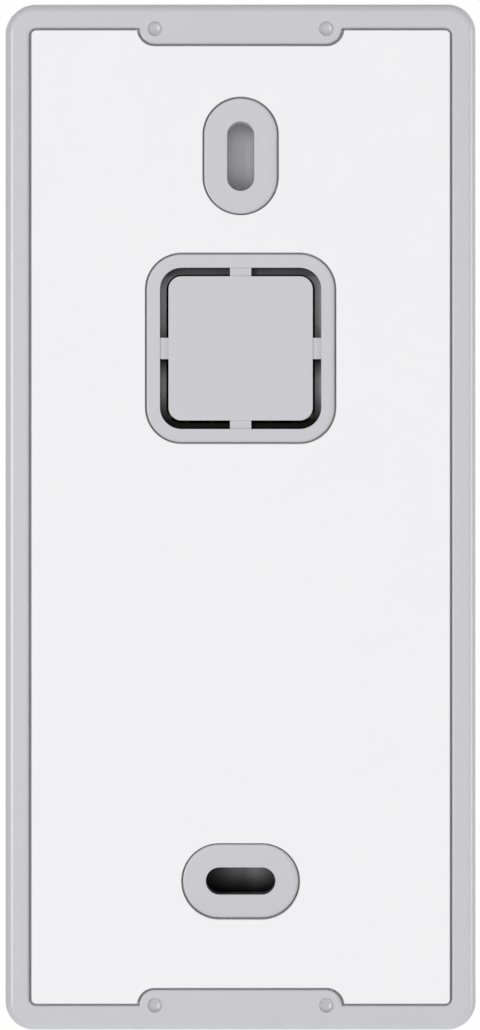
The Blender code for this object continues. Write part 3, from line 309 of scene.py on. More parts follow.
class Nodes:
    """A material's node tree, with short ways to add to it. place is the point on the object, in metres."""

    def __init__(self, name):
        self.material = bpy.data.materials.new(name)
        self.material.use_nodes = True
        self.tree = self.material.node_tree
        self.shader = self.tree.nodes["Principled BSDF"]
        self.place = self.add("ShaderNodeTexCoord").outputs["Object"]

    def add(self, kind, **settings):
        node = self.tree.nodes.new(kind)
        for key, value in settings.items():
            setattr(node, key, value)
        return node

    def link(self, out, into):
        self.tree.links.new(out, into)

    def split(self):
        """The x, y and z of the place on the object."""
        node = self.add("ShaderNodeSeparateXYZ")
        self.link(self.place, node.inputs["Vector"])
        return node.outputs["X"], node.outputs["Y"], node.outputs["Z"]

    def noise(self, size, detail=2.0, stretch=None):
        """Noise whose features are about size mm across."""
        node = self.add("ShaderNodeTexNoise")
        node.inputs["Scale"].default_value = 1 / (size * MM)
        node.inputs["Detail"].default_value = detail
        source = self.place
        if stretch:
            mapping = self.add("ShaderNodeMapping")
            mapping.inputs["Scale"].default_value = stretch
            self.link(source, mapping.inputs["Vector"])
            source = mapping.outputs["Vector"]
        self.link(source, node.inputs["Vector"])
        return node.outputs["Fac"]

    def spread(self, value, low, high, start=0.3, end=0.7):
        """Maps start..end of a value to low..high."""
        node = self.add("ShaderNodeMapRange")
        for key, number in (("From Min", start), ("From Max", end), ("To Min", low), ("To Max", high)):
            node.inputs[key].default_value = number
        self.link(value, node.inputs["Value"])
        return node.outputs["Result"]

    def blend(self, factor, first, second):
        """Mixes two colours, each a colour or an output."""
        node = self.add("ShaderNodeMix", data_type="RGBA")
        self.link(factor, node.inputs["Factor"])
        for key, colour in (("A", first), ("B", second)):
            socket = next(s for s in node.inputs if s.name == key and s.type == "RGBA")
            if isinstance(colour, tuple):
                socket.default_value = (*colour, 1)
            else:
                self.link(colour, socket)
        return next(s for s in node.outputs if s.type == "RGBA")

    def bump(self, height, depth, normal=None):
        """Raises the surface by up to depth mm where height is 1."""
        node = self.add("ShaderNodeBump")
        node.inputs["Strength"].default_value = 1.0
        node.inputs["Distance"].default_value = depth * MM
        self.link(height, node.inputs["Height"])
        if normal is not None:
            self.link(normal, node.inputs["Normal"])
        return node.outputs["Normal"]

    def maths(self, operation, first, second=0):
        node = self.add("ShaderNodeMath", operation=operation)
        for socket, value in zip(node.inputs, (first, second)):
            if isinstance(value, (int, float)):
                socket.default_value = value
            else:
                self.link(value, socket)
        return node.outputs[0]

    def within(self, value, low, high):
        """1 where a value lies between two limits in mm, and 0 elsewhere."""
        node = self.add("ShaderNodeMath", operation="COMPARE")
        self.link(value, node.inputs[0])
        node.inputs[1].default_value = (low + high) / 2 * MM
        node.inputs[2].default_value = (high - low) / 2 * MM
        return node.outputs[0]

    def steps(self, value, low, high, stops):
        """Greys along a value from low to high mm, as (mm, grey) stops."""
        node = self.add("ShaderNodeValToRGB")
        self.link(self.spread(value, 0, 1, low * MM, high * MM), node.inputs["Fac"])
        ramp = node.color_ramp
        for i, (at, grey) in enumerate(stops):
            element = ramp.elements[i] if i < 2 else ramp.elements.new(1.0)
            element.position = (at - low) / (high - low)
            element.color = (grey, grey, grey, 1)
        return node.outputs["Color"]

    def tint(self, base, mask, factor):
        """Multiplies a colour by a factor, which is a colour or an output, where mask is 1."""
        grey = self.blend(mask, (1, 1, 1), factor)
        node = self.add("ShaderNodeMix", data_type="RGBA", blend_type="MULTIPLY")
        node.inputs["Factor"].default_value = 1.0
        sockets = [socket for socket in node.inputs if socket.type == "RGBA"]
        self.link(base, sockets[0])
        self.link(grey, sockets[1])
        return next(socket for socket in node.outputs if socket.type == "RGBA")


def shade(colour, factor):
    return tuple(min(c * factor, 1.0) for c in colour)


MADE = {}
LIGHT = (0.556, 0.55, 0.58)
# The black painted on the wiring bay as shade
BAY_PAINTED_SHADE = (0.012, 0.012, 0.013)
# How dark the painted shade makes the terminals' lower edges
EDGE_SHADE = (0.03, 0.03, 0.032)


def surface(
    name, colour, roughness, metallic=0.0, grain=0.12, depth=0.004, mottle=0.03, patch=9.0,
    stretch=None, coat=0.0, wear=0.0, extra=None, shaded=None,
):
    """A moulded, painted or machined finish: patches of colour, uneven gloss, fine grain and worn edges.

    shaded is a range of heights in mm where it is painted nearly black as shade.
    """
    if name in MADE:
        return MADE[name]
    made = Nodes(name)
    patches = made.noise(patch, 3.0)
    base = made.blend(made.spread(patches, 0, 1), shade(colour, 1 - mottle), shade(colour, 1 + mottle))
    if wear:
        point = made.add("ShaderNodeNewGeometry").outputs["Pointiness"]
        edges = made.spread(point, 0.0, wear, 0.52, 0.6)
        base = made.blend(edges, base, shade(colour, 1.12))
    # Painted shade: nearly black between the shaded heights
    if shaded:
        base = made.tint(base, made.within(made.split()[2], *shaded), EDGE_SHADE)
    made.link(base, made.shader.inputs["Base Color"])
    gloss = made.spread(made.noise(patch / 3, 2.0), roughness * 0.92, min(roughness * 1.08, 1.0))
    made.link(gloss, made.shader.inputs["Roughness"])
    made.shader.inputs["Metallic"].default_value = metallic
    made.shader.inputs["Coat Weight"].default_value = coat
    made.shader.inputs["Coat Roughness"].default_value = 0.05
    if depth:
        normal = made.bump(made.noise(grain, 2.0, stretch=stretch), depth)
        made.link(normal, made.shader.inputs["Normal"])
    for key, value in (extra or {}).items():
        made.shader.inputs[key].default_value = value
    MADE[name] = made.material
    return made.material


def light_patches(made):
    """The light plastic's colour, in faint patches."""
    patches = made.spread(made.noise(9, 3.0), 0, 1, 0.1, 0.9)
    return made.blend(patches, shade(LIGHT, 0.99), shade(LIGHT, 1.01))


def plate_plastic():
    """The plate's satin plastic, with painted shade on the walls of the slit and of the lower slot."""
    made = Nodes("light_plastic")
    x, y, z = made.split()
    base = light_patches(made)
    up = made.maths("SUBTRACT", z, KNOCK_OUT_Z * MM)
    far = made.maths("MAXIMUM", made.maths("ABSOLUTE", x), made.maths("ABSOLUTE", up))
    ring = made.within(far, KNOCK_OUT_PLUG / 2 - 0.8, KNOCK_OUT_HOLE / 2 + 0.05)
    deep = made.within(y, PLATE_FRONT + 0.05, PLATE_REAR - 0.35)
    slit_painted_shade = made.maths("MULTIPLY", ring, deep)
    # Painted shade on the slit's walls: darkest along its lower side, dark along its upper side, with a painted
    # shadow just below the side webs
    web = KNOCK_OUT_Z - WEB_WIDTH / 2
    base = made.tint(base, slit_painted_shade, made.steps(z, 11, 33, (
        (11.0, 0.008), (12.6, 0.015), (14.0, 0.22), (16.5, 0.6), (18.0, 0.6), (19.4, 0.28),
        (web + 0.05, 0.03), (web + WEB_WIDTH - 0.05, 0.38),
        (25.2, 0.6), (29.5, 0.68), (31.1, 0.4), (31.5, 0.17), (32.5, 0.15),
    )))
    # Painted shade on the lower slot's wall, darker towards the bottom
    across = made.within(x, -TAB[0] / 2, TAB[0] / 2)
    inside = made.maths("MULTIPLY", across, made.within(y, PLATE_FRONT - 1, PLATE_REAR - 0.12))
    slot_painted_shade = made.maths("MULTIPLY", inside, made.within(z, LOWER_SLOT_Z - 3, LOWER_SLOT_Z + 3))
    base = made.tint(base, slot_painted_shade, made.steps(z, -50, -44, ((-50, 0.07), (-44, 0.4))))
    dark = made.maths("MAXIMUM", slit_painted_shade, slot_painted_shade)
    # Less shine where the shade is painted
    made.link(made.spread(dark, 0.85, 0.05, 0, 1), made.shader.inputs["Specular IOR Level"])
    made.link(base, made.shader.inputs["Base Color"])
    made.link(made.spread(made.noise(3, 2.0), 0.27, 0.31, 0, 1), made.shader.inputs["Roughness"])
    made.link(made.bump(made.noise(0.16, 2.0), 0.002), made.shader.inputs["Normal"])
    return made.material


def cover_plastic():
    return surface("cover_plastic", (0.62, 0.614, 0.643), 0.36, grain=0.14, depth=0.003, mottle=0.008,
                   wear=0.5)


def black_plastic():
    return surface("black_plastic", (0.014, 0.014, 0.015), 0.5, grain=0.1, depth=0.004, mottle=0.1)


def rubber():
    return surface("rubber", (0.02, 0.02, 0.021), 0.75, grain=0.2, depth=0.01, mottle=0.15)


def soft_grey():
    return surface("flap_rubber", (0.45, 0.445, 0.47), 0.7, grain=0.2, depth=0.006, mottle=0.03)


def steel():
    return surface("steel", (0.62, 0.62, 0.63), 0.28, 1.0, grain=0.5, depth=0.003, mottle=0.08, patch=4,
                   stretch=(1, 12, 12))


def zinc():
    # The washers at the terminals are painted nearly black along their lower edges, as shade
    return surface("zinc", (0.55, 0.56, 0.58), 0.3, 1.0, grain=0.25, depth=0.003, mottle=0.15, patch=1.5,
                   shaded=TERMINAL_SHADE_HEIGHTS)


def brass():
    # The terminal plates are painted nearly black along their lower edges, as shade
    return surface("brass", (0.42, 0.29, 0.12), 0.42, 1.0, grain=0.4, depth=0.003, mottle=0.1, patch=3,
                   stretch=(8, 8, 1), shaded=TERMINAL_SHADE_HEIGHTS)


def pad_foam():
    """White foam with a thin film: faint fibres, and pores too small to see from afar."""
    made = Nodes("pad_foam")
    fibres = made.spread(made.noise(14, 3.0), 0, 1)
    base = made.blend(fibres, (0.86, 0.86, 0.873), (0.872, 0.872, 0.884))
    made.link(base, made.shader.inputs["Base Color"])
    pores = made.add("ShaderNodeTexVoronoi")
    pores.inputs["Scale"].default_value = 1 / (0.35 * MM)
    made.link(made.place, pores.inputs["Vector"])
    normal = made.bump(pores.outputs["Distance"], 0.004)
    normal = made.bump(made.noise(6, 2.0), 0.01, normal)
    made.link(normal, made.shader.inputs["Normal"])
    made.shader.inputs["Roughness"].default_value = 0.62
    made.shader.inputs["Specular IOR Level"].default_value = 0.35
    return made.material


def case_plastic():
    """The rear case: light plastic, with its wiring bay painted black as shade and its pocket floors painted
    with light and shade.
    """
    made = Nodes("case_plastic")
    x, y, z = made.split()
    base = light_patches(made)
    deep = made.within(y, -13.3, CASE_HIGH[1] - 0.05)

    def region(centre_z, half_width, half_height):
        across = made.maths("MULTIPLY", deep, made.within(x, -half_width, half_width))
        return made.maths("MULTIPLY", across, made.within(z, centre_z - half_height, centre_z + half_height))

    # The wiring bay painted matt black, as shade
    half_bay = BAY[0] / 2 + 0.2
    base = made.blend(region(KNOCK_OUT_Z, half_bay, half_bay), base, BAY_PAINTED_SHADE)
    near, long = POCKET[0] / 2 + 0.15, POCKET[1] / 2 + 0.15
    # The upper pocket's floor painted near white as light, with painted shade towards its -x side and its lower
    # end
    upper = region(UPPER_SLOT_Z, near, long)
    base = made.blend(upper, base, (0.95, 0.945, 0.965))
    base = made.tint(base, upper, made.steps(x, -2, 2, (
        (-1.7, 0.52), (-1.35, 0.6), (-1.1, 0.7), (-0.85, 0.88), (-0.6, 1), (2, 1),
    )))
    base = made.tint(base, upper, made.steps(z, 43, 54, (
        (43.5, 0.68), (44, 0.76), (44.5, 0.82), (45, 0.9), (45.6, 0.95), (46.7, 1), (54, 1),
    )))
    # The lower pocket's floor painted from near white at its middle to black towards its edges, as light and
    # shade
    lower = region(LOWER_SLOT_Z, long, near)
    up = made.maths("SUBTRACT", z, (LOWER_SLOT_Z + 0.2) * MM)
    along = made.maths("MULTIPLY", x, 0.45)
    squares = made.maths("ADD", made.maths("MULTIPLY", up, up), made.maths("MULTIPLY", along, along))
    base = made.blend(lower, base, made.steps(made.maths("SQRT", squares), 0, 5, (
        (0.1, 0.98), (0.7, 0.72), (1.2, 0.44), (1.6, 0.28), (2, 0.16), (2.5, 0.08), (2.9, 0.03), (3.3, 0.01),
    )))
    # Less shine where the lower pocket's floor is painted
    made.link(made.spread(lower, 0.5, 0.05, 0, 1), made.shader.inputs["Specular IOR Level"])
    made.link(base, made.shader.inputs["Base Color"])
    made.link(made.spread(made.noise(3, 2.0), 0.46, 0.54), made.shader.inputs["Roughness"])
    made.link(made.bump(made.noise(0.16, 2.0), 0.003), made.shader.inputs["Normal"])
    return made.material


def panel_gloss():
    return surface("panel_gloss", (0.006, 0.006, 0.008), 0.06, grain=2.5, depth=0.0006, mottle=0.2, coat=1.0)


def window_glass():
    """Polished glass with a trace of dust."""
    made = Nodes("window_glass")
    dust = made.spread(made.noise(0.8, 4.0), 0, 0.08, 0.55, 0.8)
    base = made.blend(dust, (0.92, 0.94, 0.96), (0.75, 0.75, 0.75))
    made.link(base, made.shader.inputs["Base Color"])
    made.link(made.spread(made.noise(3, 2.0), 0.02, 0.05), made.shader.inputs["Roughness"])
    made.shader.inputs["Transmission Weight"].default_value = 1.0
    made.shader.inputs["IOR"].default_value = 1.5
    return made.material


def lens_coating():
    """The front lens: dark glass with a violet and green coating."""
    made = Nodes("lens_coating")
    facing = made.add("ShaderNodeLayerWeight")
    facing.inputs["Blend"].default_value = 0.35
    colour = made.blend(facing.outputs["Facing"], (0.01, 0.004, 0.03), (0.02, 0.12, 0.09))
    made.link(colour, made.shader.inputs["Base Color"])
    made.link(made.spread(made.noise(1.5, 2.0), 0.02, 0.05), made.shader.inputs["Roughness"])
    made.shader.inputs["Coat Weight"].default_value = 1.0
    made.shader.inputs["Coat Roughness"].default_value = 0.02
    made.shader.inputs["Specular IOR Level"].default_value = 0.9
    return made.material


def milky(name, colour, roughness):
    """Translucent moulded plastic that scatters light."""
    made = surface(name, colour, roughness, grain=0.3, depth=0.002, mottle=0.02)
    shader = made.node_tree.nodes["Principled BSDF"]
    shader.inputs["Subsurface Weight"].default_value = 0.35
    shader.inputs["Subsurface Radius"].default_value = (0.002, 0.002, 0.002)
    shader.inputs["Subsurface Scale"].default_value = 0.5
    return made


def circuit_board():
    """Solder mask over copper runs, with tinned pads."""
    made = Nodes("circuit_board")
    tracks = made.add("ShaderNodeTexBrick")
    tracks.inputs["Scale"].default_value = 1 / (9 * MM)
    tracks.inputs["Mortar Size"].default_value = 0.025
    mapping = made.add("ShaderNodeMapping")
    mapping.inputs["Rotation"].default_value = (math.radians(90), 0, 0)
    made.link(made.place, mapping.inputs["Vector"])
    made.link(mapping.outputs["Vector"], tracks.inputs["Vector"])
    pads = made.add("ShaderNodeTexVoronoi")
    pads.inputs["Scale"].default_value = 1 / (3 * MM)
    made.link(made.place, pads.inputs["Vector"])
    mask = made.blend(tracks.outputs["Fac"], (0.012, 0.12, 0.05), (0.03, 0.26, 0.1))
    tin = made.spread(pads.outputs["Distance"], 1, 0, 0.1, 0.13)
    made.link(made.blend(tin, mask, (0.6, 0.58, 0.5)), made.shader.inputs["Base Color"])
    made.link(made.spread(tin, 0.45, 0.25, 0, 1), made.shader.inputs["Roughness"])
    made.link(made.bump(tracks.outputs["Fac"], 0.03), made.shader.inputs["Normal"])
    return made.material


def pir_milk():
    """Milky polyethylene, moulded with an array of small lenses on its rear that shows through."""
    made = milky("pir_milk", (0.86, 0.86, 0.84), 0.32)
    tree = made.node_tree
    shader = tree.nodes["Principled BSDF"]
    place = tree.nodes.new("ShaderNodeTexCoord").outputs["Object"]
    cells = tree.nodes.new("ShaderNodeTexVoronoi")
    cells.feature = "SMOOTH_F1"
    cells.inputs["Scale"].default_value = 1 / (2.6 * MM)
    cells.inputs["Randomness"].default_value = 0.15
    tree.links.new(place, cells.inputs["Vector"])
    bump = tree.nodes.new("ShaderNodeBump")
    bump.inputs["Strength"].default_value = 1.0
    bump.inputs["Distance"].default_value = 0.05 * MM
    bump.invert = True
    tree.links.new(cells.outputs["Distance"], bump.inputs["Height"])
    tree.links.new(bump.outputs["Normal"], shader.inputs["Normal"])
    return made


def button_plastic():
    return surface("button_plastic", (0.5, 0.5, 0.52), 0.38, grain=0.14, depth=0.003, mottle=0.01, wear=0.5)


def battery_film():
    return surface("battery_film", (0.03, 0.12, 0.4), 0.3, grain=5.0, depth=0.03, mottle=0.06, patch=12)


def antenna_film():
    return surface("antenna_film", (0.3, 0.13, 0.03), 0.3, grain=1.0, depth=0.005, mottle=0.25, patch=2)


def tinplate():
    return surface("tinplate", (0.7, 0.7, 0.69), 0.25, 1.0, grain=0.8, depth=0.004, mottle=0.06, patch=3)


def sensor_chip():
    return surface("sensor_chip", (0.05, 0.03, 0.09), 0.08, grain=0.1, depth=0.001, mottle=0.4, patch=0.6,
                   coat=1.0)


def ir_lamp():
    return surface("ir_lamp", (0.03, 0.015, 0.035), 0.08, grain=1.0, depth=0.001, mottle=0.3, patch=2,
                   coat=1.0)


def white_lamp():
    return surface("white_lamp", (0.85, 0.75, 0.3), 0.35, grain=0.3, depth=0.003, mottle=0.1, patch=1)


def stem_plastic():
    return surface("stem_plastic", (0.55, 0.12, 0.04), 0.45, grain=0.15, depth=0.003, mottle=0.05)


def cone_film():
    return surface("cone_film", (0.06, 0.06, 0.065), 0.3, grain=1.2, depth=0.02, mottle=0.15, patch=3)


REPLACED = set()


def finish(piece, material):
    """Gives a piece its material."""
    piece.data.materials.clear()
    piece.data.materials.append(material)


def stands_for(piece, material, body, slot, *nodes):
    """Gives a piece its finish and body, and hides the CAD nodes that it stands for."""
    finish(piece, material)
    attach(piece, body)
    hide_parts(*nodes)
    REPLACED.update(nodes)


# Wall side


def screw_slots():
    """Width, height and centre height of the two screw slots."""
    return ((SLOT[0], SLOT[1], UPPER_SLOT_Z), (SLOT[1], SLOT[0], LOWER_SLOT_Z))


def slab():
    """The plate's slab: round at its rear edge, with a small round at its front edge."""
    rear, front = 1.15, 0.25
    sections = [(body_outline(inset), PLATE_FRONT + level) for level, inset in reversed(round_over(front, 4))]
    return sections + [(body_outline(inset), PLATE_REAR - level) for level, inset in round_over(rear, 10)]


def slit():
    """The slit round the knock-out plug, which a ledge narrows near the plate's front."""
    hole = PLUG_CORNER + (KNOCK_OUT_HOLE - KNOCK_OUT_PLUG) / 2
    far_hole = PLUG_CORNER + (KNOCK_OUT_FAR_HOLE - KNOCK_OUT_PLUG) / 2
    radius = 0.06
    edge = round_over(radius, ROUND)
    sections = [(square(KNOCK_OUT_HOLE, hole, radius), PLATE_REAR + 1)]
    sections += [(square(KNOCK_OUT_HOLE, hole, side), PLATE_REAR - depth) for side, depth in edge]
    sections += [
        (square(KNOCK_OUT_HOLE, hole), KNOCK_OUT_LEDGE),
        (square(KNOCK_OUT_FAR_HOLE, far_hole), KNOCK_OUT_LEDGE),
        (square(KNOCK_OUT_FAR_HOLE, far_hole), PLATE_FRONT - 1),
        (square(KNOCK_OUT_PLUG, PLUG_CORNER), PLATE_FRONT - 1),
    ]
    for side, depth in reversed(edge):
        sections.append((square(KNOCK_OUT_PLUG, PLUG_CORNER, -side), PLATE_REAR - depth))
    sections.append((square(KNOCK_OUT_PLUG, PLUG_CORNER, -radius), PLATE_REAR + 1))
    return rings_of(sections, (0, KNOCK_OUT_Z)), True


def plate_raised():
    """Islands on the recess floor round the slots and the knock-out."""
    bodies = []
    for width, height, z in screw_slots():
        rim = slot_outline(width, height, ISLAND_RIM)
        bodies.append(mound(rim, PLATE_REAR, ISLAND_ROOT, ISLAND_EDGE, (0, z)))
    bodies.append(mound(
        lambda grow: square(KNOCK_OUT_ISLAND, ISLAND_CORNER, grow), PLATE_REAR, ISLAND_ROOT, ISLAND_EDGE,
        (0, KNOCK_OUT_Z),
    ))
    return bodies


def plate_holes():
    """The two slots, the slit, and a dimple at each end of each tab."""
    bodies = []
    for width, height, z in screw_slots():
        bodies.append(mouth(slot_outline(width, height), PLATE_REAR, PLATE_FRONT - 1, 0.08, (0, z)))
    bodies.append(slit())
    dimple = (
        (1.06, 0.3), (1.03, 0.0), (1.0, -0.06), (0.98, -0.35),
        (0.9, -0.5), (0.7, -0.6), (0.4, -0.66), (0.2, -0.68),
    )
    for x in (-TAB[0], TAB[0]):
        for z in (-TAB[1], TAB[1]):
            sections = [(circle(0.93 * size, 48), PLATE_REAR + depth) for size, depth in dimple]
            bodies.append((rings_of(sections, (x, z)), False))
    return bodies


def plate_webs():
    """The four webs across the slit."""
    inner, outer = KNOCK_OUT_PLUG / 2 - 0.25, KNOCK_OUT_HOLE / 2 + 0.25
    top, half = PLATE_REAR - 0.3, WEB_WIDTH / 2
    bodies = []
    for side in (-1, 1):
        near, far = sorted((side * inner, side * outer))
        for outline in (rectangle((near, -half), (far, half)), rectangle((-half, near), (half, far))):
            bodies.append(prism(outline, top, top - 1.0, (0, KNOCK_OUT_Z)))
    return bodies


def plate_front():
    """Hooks that hold the unit, and stakes that hold the snap clip."""
    profile = [
        (PLATE_FRONT + 0.5, 62.7), (PLATE_FRONT + 0.5, 61.4), (-7.1, 61.4), (-7.3, 61.6),
        (-7.3, 63.4), (-7.1, 63.6), (-6.1, 63.6), (-5.9, 63.4), (-5.9, 62.7),
    ]
    bodies = [prism(profile, x - 2.2, x + 2.2, axis="X") for x in (-TAB[0], TAB[0])]
    head = PLATE_FRONT - 1.1
    dome = ((0.7, PLATE_FRONT + 0.5), (0.7, head), (1.3, head), (1.25, head - 0.15), (1.0, head - 0.3))
    for x in (-4.5, 4.5):
        bodies.append((rings_of([(circle(r, 32), y) for r, y in dome], (x, -63.1)), False))
    return bodies


def make_plate():
    plate = loft("plate_moulding", slab())
    carve(plate, "DIFFERENCE", [mouth(recess_outline, PLATE_REAR, RECESS_FLOOR, 0.25)])
    carve(plate, "UNION", plate_raised())
    carve(plate, "DIFFERENCE", plate_holes())
    carve(plate, "UNION", plate_webs())
    carve(plate, "UNION", plate_front())
    smooth(plate)
    stands_for(plate, plate_plastic(), "wall_plate", "light_plastic", "mounting_plate")


def make_pad():
    """The foam pad, with soft edges, let into the recess round the islands."""
    rear, front, soft = PAD_HIGH[1], PAD_LOW[1], 0.1
    pad = mesh_piece("foam_pad", [mound(lambda grow: recess_outline(grow - PAD_GAP), rear, front, soft)])
    holes = []
    for width, height, z in screw_slots():
        hole = slot_outline(width, height, ISLAND_RIM + PAD_SNUG)
        holes.append(mouth(hole, rear, front - 1, soft, (0, z)))
    size, corner = KNOCK_OUT_ISLAND + 2 * PAD_SNUG, ISLAND_CORNER + PAD_SNUG
    holes.append(mouth(lambda grow: square(size, corner, grow), rear, front - 1, soft, (0, KNOCK_OUT_Z)))
    carve(pad, "DIFFERENCE", holes)
    smooth(pad)
    stands_for(pad, pad_foam(), "wall_plate", "pad_foam", "adhesive_pad")


# Unit: the rear case and the front cover


def corners(place):
    """A place in all four corners."""
    x, z = place
    return ((-x, z), (x, z), (-x, -z), (x, -z))


def make_rear_case():
    """The tub, with a wall round each hollow in its rear face."""
    rear, inner, split, seal = CASE_HIGH[1], CASE_HIGH[1] - 1.8, -12.5, -11.2
    soft = 0.3
    sections = [
        (body_outline(2.4), inner), (body_outline(2.4), seal), (body_outline(1.2), seal),
        (body_outline(1.2), split), (body_outline(0.1), split), (body_outline(), split + 0.1),
    ]
    sections += [(body_outline(inset), rear - level) for level, inset in round_over(soft, 4)]
    case = loft("case_tub", sections)
    start = inner + 0.9
    walls = [
        prism(square(*BAY_WALL), start, -13.2, (0, KNOCK_OUT_Z)),
        prism(stadium(POCKET[0], POCKET[1], POCKET_WALL), start, -6.5, (0, UPPER_SLOT_Z)),
        prism(stadium(POCKET[1], POCKET[0], POCKET_WALL), start, -12.2, (0, LOWER_SLOT_Z)),
        prism(rectangle((-9.5, -65.5), (9.5, -56.8)), start, -6.3),
        prism(rectangle((-4.8, -65.5), (4.8, -59.3)), start, -10.2),
    ]
    walls += [prism(rectangle((x - 3.8, 57.8), (x + 3.8, 65.4)), start, -9.4) for x in (-TAB[0], TAB[0])]
    walls += [prism(circle(3.4, 40), start, -8.0, place) for place in corners(CASE_SCREW)]
    carve(case, "UNION", walls)
    hollows = [
        mouth(lambda grow: square(*BAY, grow), rear, -12.0, 0.15, (0, KNOCK_OUT_Z)),
        mouth(slot_outline(POCKET[0], POCKET[1]), rear, -5.3, 0.15, (0, UPPER_SLOT_Z)),
        mouth(slot_outline(POCKET[1], POCKET[0]), rear, -11.0, 0.15, (0, LOWER_SLOT_Z)),
        prism(rectangle((-8.0, -65.2), (8.0, -58.2)), rear + 1, -4.5),
        prism(rectangle((-3.6, -62.3), (3.6, -60.5)), rear + 1, -6.8),
        prism(rectangle((-3.6, -63.9), (3.6, -60.5)), -6.3, -9.0),
        prism(circle(0.8, 32), -HEIGHT / 2 - 1, -63.0, (0, -7.6), "Z"),
    ]
    for x in (-TAB[0], TAB[0]):
        hollows.append(prism(rectangle((x - 2.6, 59.0), (x + 2.6, 63.0)), rear + 1, inner - 0.5))
        hollows.append(prism(rectangle((x - 2.6, 59.0), (x + 2.6, 64.0)), inner, -8.2))
    step = ((2.7, rear + 1), (2.7, rear), (2.5, rear - 0.2), (2.5, -5.3), (1.2, -5.3), (1.2, -9.0))
    for place in corners(CASE_SCREW):
        sections = [(circle(radius, 40), level) for radius, level in step]
        hollows.append((rings_of(sections, place), False))
    carve(case, "DIFFERENCE", hollows)
    smooth(case)
    stands_for(case, case_plastic(), "doorbell_unit", "light_plastic", "rear_case")


def make_front_cover():
    """The shell, with soft outer edges and rounded mouths on all its openings."""
    front, rear, soft = COVER_LOW[1], -12.8, 2.5
    sections = [
        (body_outline(2.0), front + 3), (body_outline(2.0), -14.0), (body_outline(3.6), -14.0),
        (body_outline(3.6), -11.0), (body_outline(2.7), -11.0), (body_outline(2.7), rear),
        (body_outline(0.1), rear), (body_outline(), rear - 0.1),
    ]
    sections += [(body_outline(inset), front + level) for level, inset in round_over(soft, 12)]
    cover = loft("cover_shell", sections)
    inner = front + 3
    posts = [prism(circle(2.8, 40), -8.3, inner - 1, place) for place in corners(CASE_SCREW)]
    posts += [prism(circle(2.2, 40), -15.3, inner - 1, place) for place in corners(BOARD_SCREW)]
    carve(cover, "UNION", posts)

    def opening(outline_at, x, z, floor=inner + 0.5, radius=0.12):
        """A rounded mouth in the front face."""
        return mouth(outline_at, front, floor, radius, (x, z), up=-1)

    cuts = [
        opening(lambda grow: square(*PANEL_SEAT, grow), PANEL_X, PANEL_Z, PANEL_HIGH[1] + 0.3),
        prism(circle(CAMERA_HOLE), front - 1, inner + 0.5, (CAMERA_X, CAMERA_Z)),
        opening(lambda grow: rounded(24.6 + 2 * grow, 12.6 + 2 * grow, 4.3 + grow), PIR_X, PIR_Z),
        opening(lambda grow: circle(15.3 + grow, 96), BUTTON_X, BUTTON_Z),
        opening(lambda grow: circle(0.6 + grow, 32), *MICROPHONE_HOLE, radius=0.2),
    ]
    for x in (-LAMP_HOLE_X, LAMP_HOLE_X):
        cuts.append(prism(circle(2.9, 48), front - 1, inner + 0.5, (x, CAMERA_Z)))
    for i in range(-2, 3):
        cuts.append(opening(slot_outline(*SOUND_SLOT), i * SOUND_SLOT_PITCH, SOUND_SLOT_Z, radius=0.2))
    carve(cover, "DIFFERENCE", cuts)
    low = COVER_LOW[2]
    bores = [prism(circle(1.1, 32), -7.0, -17.0, place) for place in corners(CASE_SCREW)]
    bores += [prism(circle(1.0, 32), -14.0, -20.0, place) for place in corners(BOARD_SCREW)]
    bores += [
        mouth(lambda grow: rounded(12.0 + 2 * grow, 6.0 + 2 * grow, 1.5 + grow), low, low + 1.5, 0.1,
              PORT_SEAT, -1, "Z"),
        prism(stadium(9.6, 3.8), low - 1, low + 3, PORT_HOLE, "Z"),
        mouth(lambda grow: circle(1.9 + grow, 40), low, low + 3, 0.15, RESET_HOLE, -1, "Z"),
    ]
    carve(cover, "DIFFERENCE", bores)
    smooth(cover)
    stands_for(cover, cover_plastic(), "doorbell_unit", "light_plastic", "front_cover")


# Unit: what shows on its front


def make_panel():
    """The glossy panel, polished round its edge and its camera opening."""
    front, rear = PANEL_LOW[1], PANEL_HIGH[1]
    panel = mesh_piece("gloss_panel", [mound(
        lambda grow: square(*PANEL, grow), front, rear, 0.35, (PANEL_X, PANEL_Z), -1, 6,
    )])
    carve(panel, "DIFFERENCE", [mouth(
        lambda grow: circle(CAMERA_HOLE + grow, 96), front, rear + 1, 0.12, (CAMERA_X, CAMERA_Z), -1,
    )])
    smooth(panel)
    stands_for(panel, panel_gloss(), "doorbell_unit", "panel_gloss", "lens_panel")


def make_camera_parts():
    """The window, the barrel with its baffles, and the front lens."""
    at = (CAMERA_X, CAMERA_Z)
    front, rear = WINDOW_LOW[1], WINDOW_HIGH[1]
    profile = [(7.3, rear), (7.3, front + 0.15), (7.25, front + 0.04), (7.15, front)]
    window = turned("camera_window", profile, at, 96)
    smooth(window)
    stands_for(window, window_glass(), "doorbell_unit", "clear_glass", "lens_window")
    profile = [
        (4.9, -17.4), (4.9, -20.4), (6.2, -20.5), (6.4, -20.7), (6.4, -23.1), (6.3, -23.2), (5.0, -23.2),
    ]
    baffles = 6
    for i in range(baffles):
        profile += [(5.0 - 0.3 * i, -23.15 + 0.26 * i), (5.0 - 0.3 * i, -23.0 + 0.26 * i)]
    profile += [(3.4, -21.6), (3.4, -17.4)]
    barrel = turned("lens_tube", profile, at, 96, True)
    smooth(barrel, math.radians(30))
    stands_for(barrel, black_plastic(), "doorbell_unit", "black_plastic", "lens_barrel")
    bulge, edge = 6.4, 3.1
    dome = [(edge, -19.4), (edge, -21.35)]
    for i in range(1, 11):
        radius = edge * (1 - i / 10.5)
        sag = math.sqrt(bulge ** 2 - radius ** 2) - math.sqrt(bulge ** 2 - edge ** 2)
        dome.append((radius, -21.4 - sag))
    lens = turned("lens_glass", dome, at, 72)
    smooth(lens)
    stands_for(lens, lens_coating(), "doorbell_unit", "clear_glass", "front_lens")


